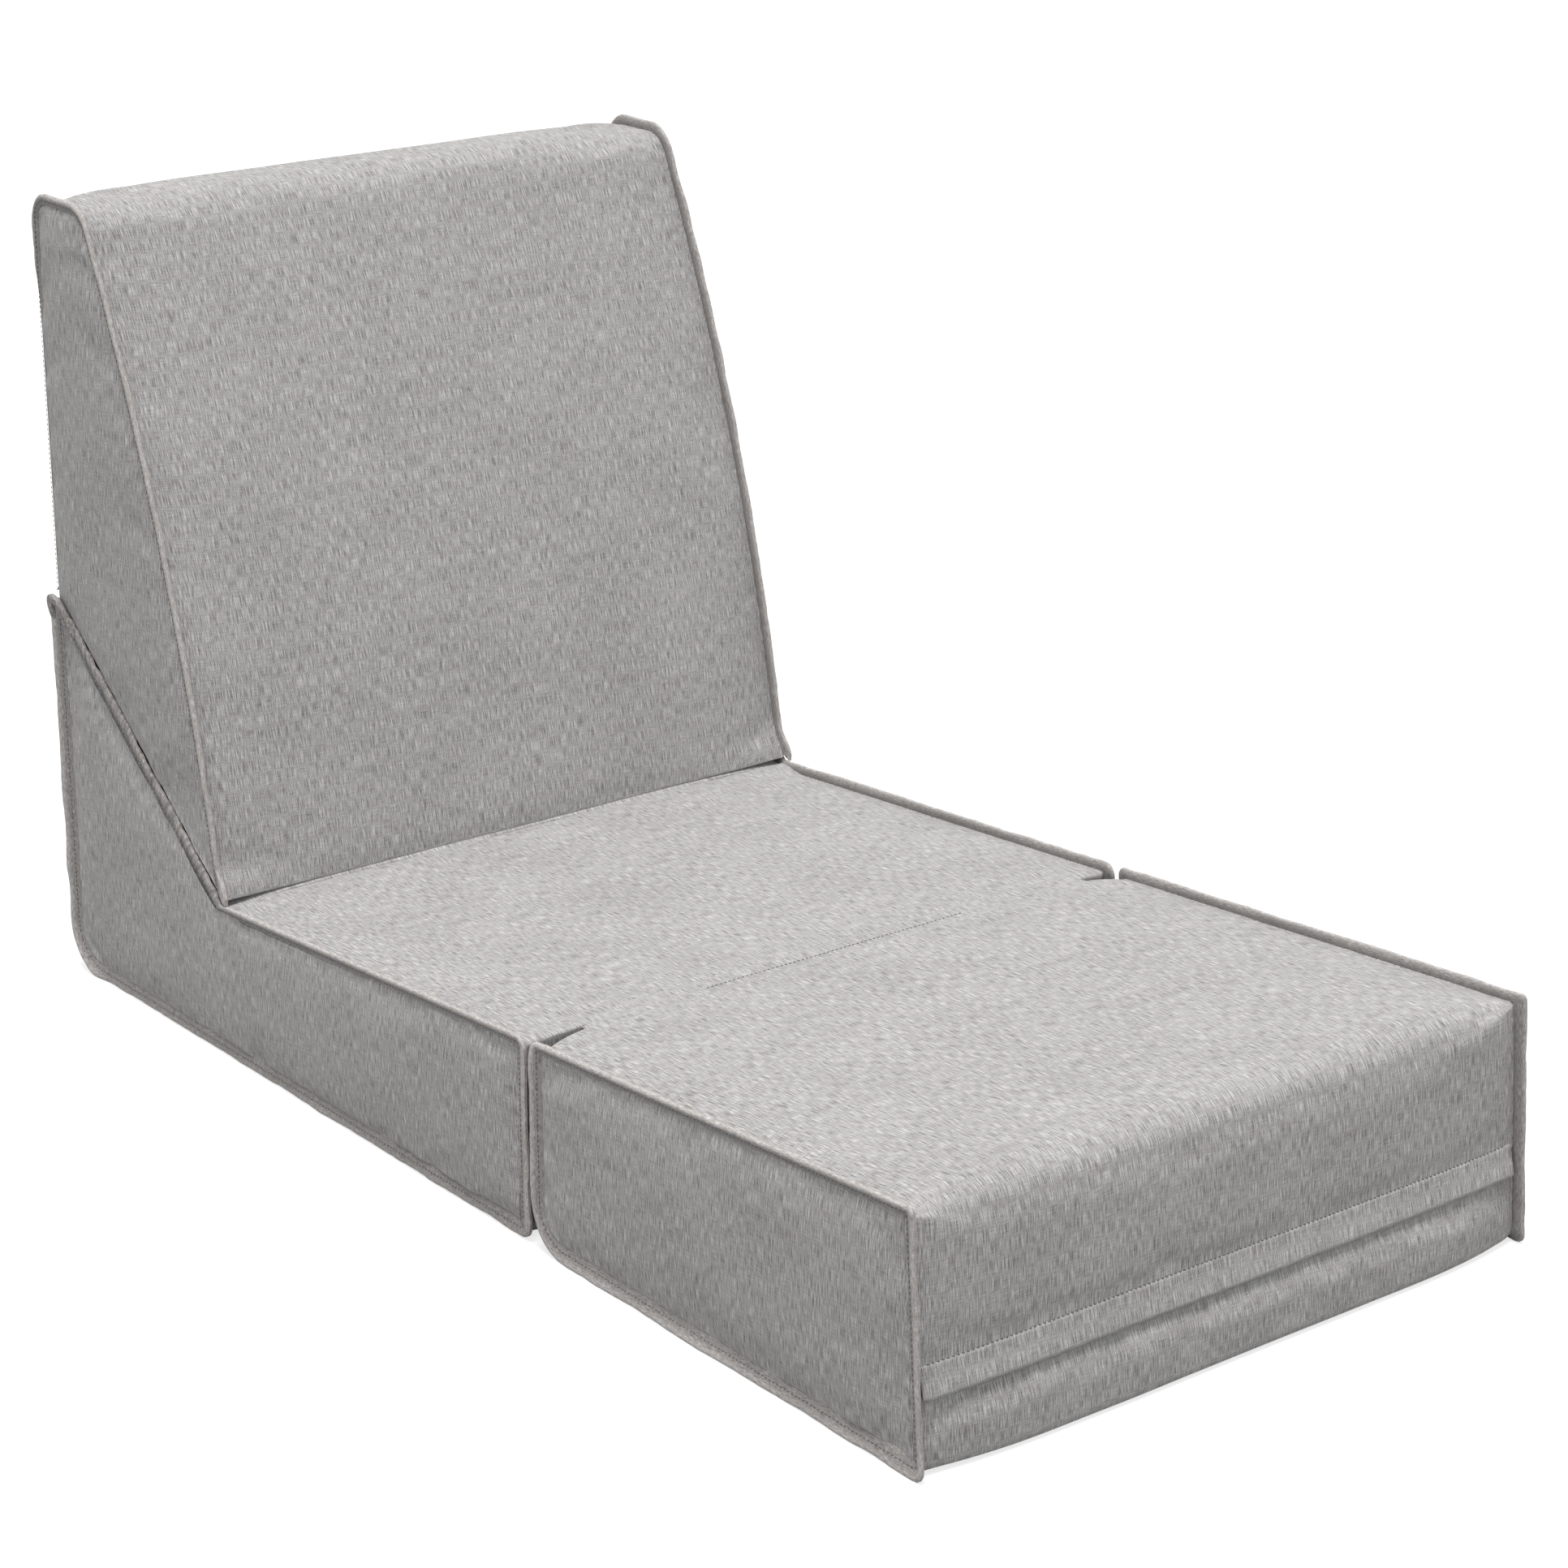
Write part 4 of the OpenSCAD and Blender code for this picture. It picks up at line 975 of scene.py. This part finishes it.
foldRows = [-y for y in reversed(halfRows)] + [0] + halfRows
bridge, thick = foldLook["bridge"], foldLook["lift"] + foldLook["sink"]
n, m = round((foldLook["right"] - foldLook["left"]) / foldLook["across"]) + 1, len(foldRows)
xs = np.linspace(foldLook["left"], foldLook["right"], n)
verts, faces, coords = [], [], []
for layer in (0, 1):
    for x in xs:
        tip = min(1, min(x - foldLook["left"], foldLook["right"] - x) / foldLook["tip"])
        width = math.sqrt(max(0, 1 - (1 - tip) ** 2))
        rear, front = overTops(x, bridge), overTops(x, -bridge)
        sewn = 1 if abs(x) < foldLook["seam"] else max(0, 1 - (abs(x) - foldLook["seam"]) / foldLook["seamFade"])
        for y in foldRows:
            y1 = y * (0.16 + 0.84 * width)
            z = overTops(x, y1) if abs(y1) > bridge - 0.1 else front + (rear - front) * (y1 + bridge) / (2 * bridge)
            share = min(1, abs(y) / foldLook["half"])
            z += foldLook["lift"] - thick * max(0, (share - 0.5) / 0.5) ** 2
            z -= (0.35 + 0.75 * sewn) * math.exp(-(y / 1.5) ** 2)
            z -= 2.6 * (1 - tip) ** 2
            z += 0.25 * noise.noise(Vector((x / 9, y / 14, 3.3))) * math.exp(-(y / 9) ** 2)
            verts.append((x, y1 + foldY, z - foldLook["thickness"] * layer))
    for q in squares(n, m):
        q = q[::-1] if layer else q
        faces.append(tuple(layer * n * m + a * m + b for a, b in q))
        coords += [(xs[a] * mm, foldRows[b] * mm) for a, b in q]
border = [(i, 0) for i in range(n)] + [(n - 1, k) for k in range(1, m)]
border += [(i, m - 1) for i in range(n - 2, -1, -1)] + [(0, k) for k in range(m - 2, 0, -1)]
for (a, b), (c, d) in zip(border, border[1:] + border[:1]):
    faces.append((a * m + b, n * m + a * m + b, n * m + c * m + d, c * m + d))
    coords += [(xs[i] * mm, foldRows[k] * mm) for i, k in ((a, b), (a, b), (c, d), (c, d))]
foldCloth = addMesh("foldCloth", np.array(verts) * mm, faces, coords)
finishMesh(foldCloth, linenCover)
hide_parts("fold_hinge_seam")
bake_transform(foldCloth)
seamPoints = [(x, foldY, overTops(x, bridge) * 0.5 + overTops(x, -bridge) * 0.5 - 0.45)
              for x in np.linspace(-foldLook["seam"], foldLook["seam"], 80)]
stitchLine("foldStitches", seamPoints, [(0, 0, 1)] * len(seamPoints), "seat_base")
print("fold cloth done")


# a doubled strip that follows both rear faces, y from their surfaces and z from the hinge line
hingeLook = {"half": 288, "across": 6, "thickness": 1.3, "narrows": 22, "ruffle": 0.3}
hingeLow = [(-0.6, -30), (0.3, -26), (0.6, -18), (0.6, -8), (0.2, -3.5), (-1.6, -0.6)]
hingeHigh = [(1.5, 1.4), (0.5, 5), (0.6, 10), (0.6, 18), (0.3, 24), (-0.6, 28)]


def behind(name, x, z):
    hit, where, normal, index = cushions[name].ray_cast(Vector((x * mm, 1.2, z * mm)), Vector((0, -1, 0)))
    return where.y * 1000 - foldY


hingeZ = chair["hingeHeight"]
xs = np.linspace(-hingeLook["half"], hingeLook["half"], round(2 * hingeLook["half"] / hingeLook["across"]) + 1)
n, m = len(xs), len(hingeLow) + len(hingeHigh)
verts, faces, coords = [], [], []
for x in xs:
    baseY, backY = behind("seat", x, hingeZ - 18), behind("backrest", x, hingeZ + 16)
    tip = 1 - min(1, (hingeLook["half"] - abs(x)) / hingeLook["narrows"])      # the strip narrows to its ends
    shrink = math.sqrt(max(0, 1 - tip * tip)) * 0.8 + 0.2
    for y, z in [(baseY + a, b) for a, b in hingeLow] + [(backY + a, b) for a, b in hingeHigh]:
        ruffle = hingeLook["ruffle"] * noise.noise(Vector((x / 12, (z + hingeZ) / 30, 1.2)))
        verts.append((x, y + foldY + ruffle, hingeZ + z * shrink))
for q in squares(n, m):
    corner = [a * m + b for a, b in q[::-1]]
    faces.append(tuple(corner))
    coords += [(verts[k][0] * mm, verts[k][2] * mm) for k in corner]
hingeCloth = addMesh("rearHingeCloth", np.array(verts) * mm, faces, coords)
ply = hingeCloth.modifiers.new("ply", "SOLIDIFY")
ply.thickness, ply.offset = hingeLook["thickness"] * mm, -1
applyAll(hingeCloth)
finishMesh(hingeCloth, linenCover)
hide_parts("rear_hinge_seam", "backrest_hinge_tape")
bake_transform(hingeCloth)
print("rear hinge done")


# where the base's rear and slope welts meet, their end is folded over into a small tab; the path
# gives y, z and how far out, from the corner, and the shape is one ring across the fold
tabLook = {"width": 8.8, "thickness": 5, "foot": 326.5}
tabPath = [(-42, -44, 0), (-37, -35, 2.0), (-33, -26, 4.6), (-30, -18, 6.0), (-25, -11, 6.4), (-18, -7.5, 6.2),
           (-10, -6.5, 5.4), (-3.5, -6.5, 4.6), (1.5, -9, 4.2), (3.2, -14, 4.2), (2.4, -21, 3.8), (0.6, -28, 2.6),
           (-1.5, -36, 0.8)]


def cornerTab(name, side, body):
    points = np.array([(a, b) for a, b, c in tabPath]) + corners["seat"][2]
    go = np.gradient(points, axis=0)
    half, width = tabLook["thickness"] / 2, tabLook["width"]
    ringShape = [(-half, 0.4), (-half * 0.8, -0.25), (-0.4, -0.4), (0, 0.25), (0.4, -0.4), (half * 0.8, -0.25),
                 (half, 0.4), (half, width * 0.6), (half * 0.7, width), (-half * 0.7, width), (-half, width * 0.6)]
    last, m = len(points) - 1, len(ringShape)
    turn = sum(crossed(go[k], go[k + 1]) for k in range(last))
    verts = []
    for k, p in enumerate(points):
        inward = leftOf(unit(go[k])) * (1 if turn > 0 else -1)
        grow = 1 if 0 < k < last else 0.6
        for x, h in ringShape:
            q = p + inward * h * grow
            verts.append((side * (tabLook["foot"] + half + x + tabPath[k][2]), q[0] + foldY, q[1]))
    faces = [tuple(a * m + b for a, b in q) for q in tubeSquares(last + 1, m)]
    faces += [tuple(range(m)), tuple(last * m + j for j in range(m - 1, -1, -1))]
    end = addMesh(name, np.array(verts) * mm, faces)
    faceOutward(end)
    rounded = end.modifiers.new("round", "SUBSURF")
    rounded.levels = rounded.render_levels = 1
    applyAll(end)
    bpy.ops.object.shade_smooth()
    # the darkened trim fabric paints shade on the tab
    giveMaterial(end, linenTrimShaded)
    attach(end, body)


cornerTab("cornerTabLeft", -1, "seat_base")
cornerTab("cornerTabRight", 1, "seat_base")
print("corner tabs done")


# the camera stands where the photograph's seam lines put it
view = {"place": (-2.0399, -2.5384, 1.5042), "yaw": 37.951, "pitch": 19.681, "focalPixels": 4939.8, "pixels": 1932}
camera = bpy.data.objects.new("camera", bpy.data.cameras.new("camera"))
bpy.context.scene.collection.objects.link(camera)
camera.data.sensor_width = 36
camera.data.lens = 36 * view["focalPixels"] / view["pixels"]
camera.data.clip_end = 60
camera.location = (view["place"][0], view["place"][1] + foldY * mm, view["place"][2])
camera.rotation_euler = (math.radians(90 - view["pitch"]), 0, -math.radians(view["yaw"]))
bpy.context.scene.camera = camera

# a grey sky and one large soft lamp overhead, a little to the left and front
studio = {"sky": 0.65, "skyColour": (0.985, 0.99, 1, 1), "overhead": 2.47, "lampColour": (1, 0.988, 0.972),
          "spread": 18, "from": (-0.12, -0.08, 1), "floorColour": "#979797", "floorGlow": 0.75}
white = (1, 1, 1, 1)
world = bpy.data.worlds.new("studio")
bpy.context.scene.world = world
world.use_nodes = True
sky = world.node_tree


# 1 for what the camera, gloss and glass see, which is the white background
def backgroundRays(tree):
    rays = addNode(tree, "ShaderNodeLightPath").outputs
    seen = addNode(tree, "ShaderNodeMath", {0: rays["Is Camera Ray"], 1: rays["Is Glossy Ray"]}, operation="MAXIMUM")
    return addNode(tree, "ShaderNodeMath", {0: seen.outputs[0], 1: rays["Is Transmission Ray"]},
                   operation="MAXIMUM").outputs[0]


seen = backgroundRays(sky)
strength = addNode(sky, "ShaderNodeMapRange", {"Value": seen, "To Min": studio["sky"], "To Max": 1.0})
skyTint = addNode(sky, "ShaderNodeMix", {"Factor": seen, "A": studio["skyColour"], "B": white}, data_type="RGBA")
connect(sky, sky.nodes["Background"], {"Strength": strength.outputs["Result"], "Color": skyTint.outputs["Result"]})

bpy.ops.mesh.primitive_plane_add(size=16, location=(0, 0, -0.0004))
floor = bpy.context.object
floor.name = "floor"
paper, tree, shader = newMaterial("paperFloor")     # matt white studio paper
glow = addNode(tree, "ShaderNodeMapRange", {"Value": backgroundRays(tree), "To Max": studio["floorGlow"]})
connect(tree, shader, {"Base Color": colour(studio["floorColour"]), "Roughness": 0.95, "Specular IOR Level": 0.1,
                       "Emission Color": white, "Emission Strength": glow.outputs["Result"]})
giveMaterial(floor, paper)
bpy.ops.object.light_add(type="SUN", location=(0, 0, 4))
lamp = bpy.context.object
lamp.name = "overhead"
lamp.data.energy, lamp.data.color = studio["overhead"], studio["lampColour"]
lamp.data.angle = math.radians(studio["spread"])
lamp.rotation_euler = Vector(studio["from"]).to_track_quat("Z", "Y").to_euler()
bpy.context.scene.view_settings.view_transform = "Standard"
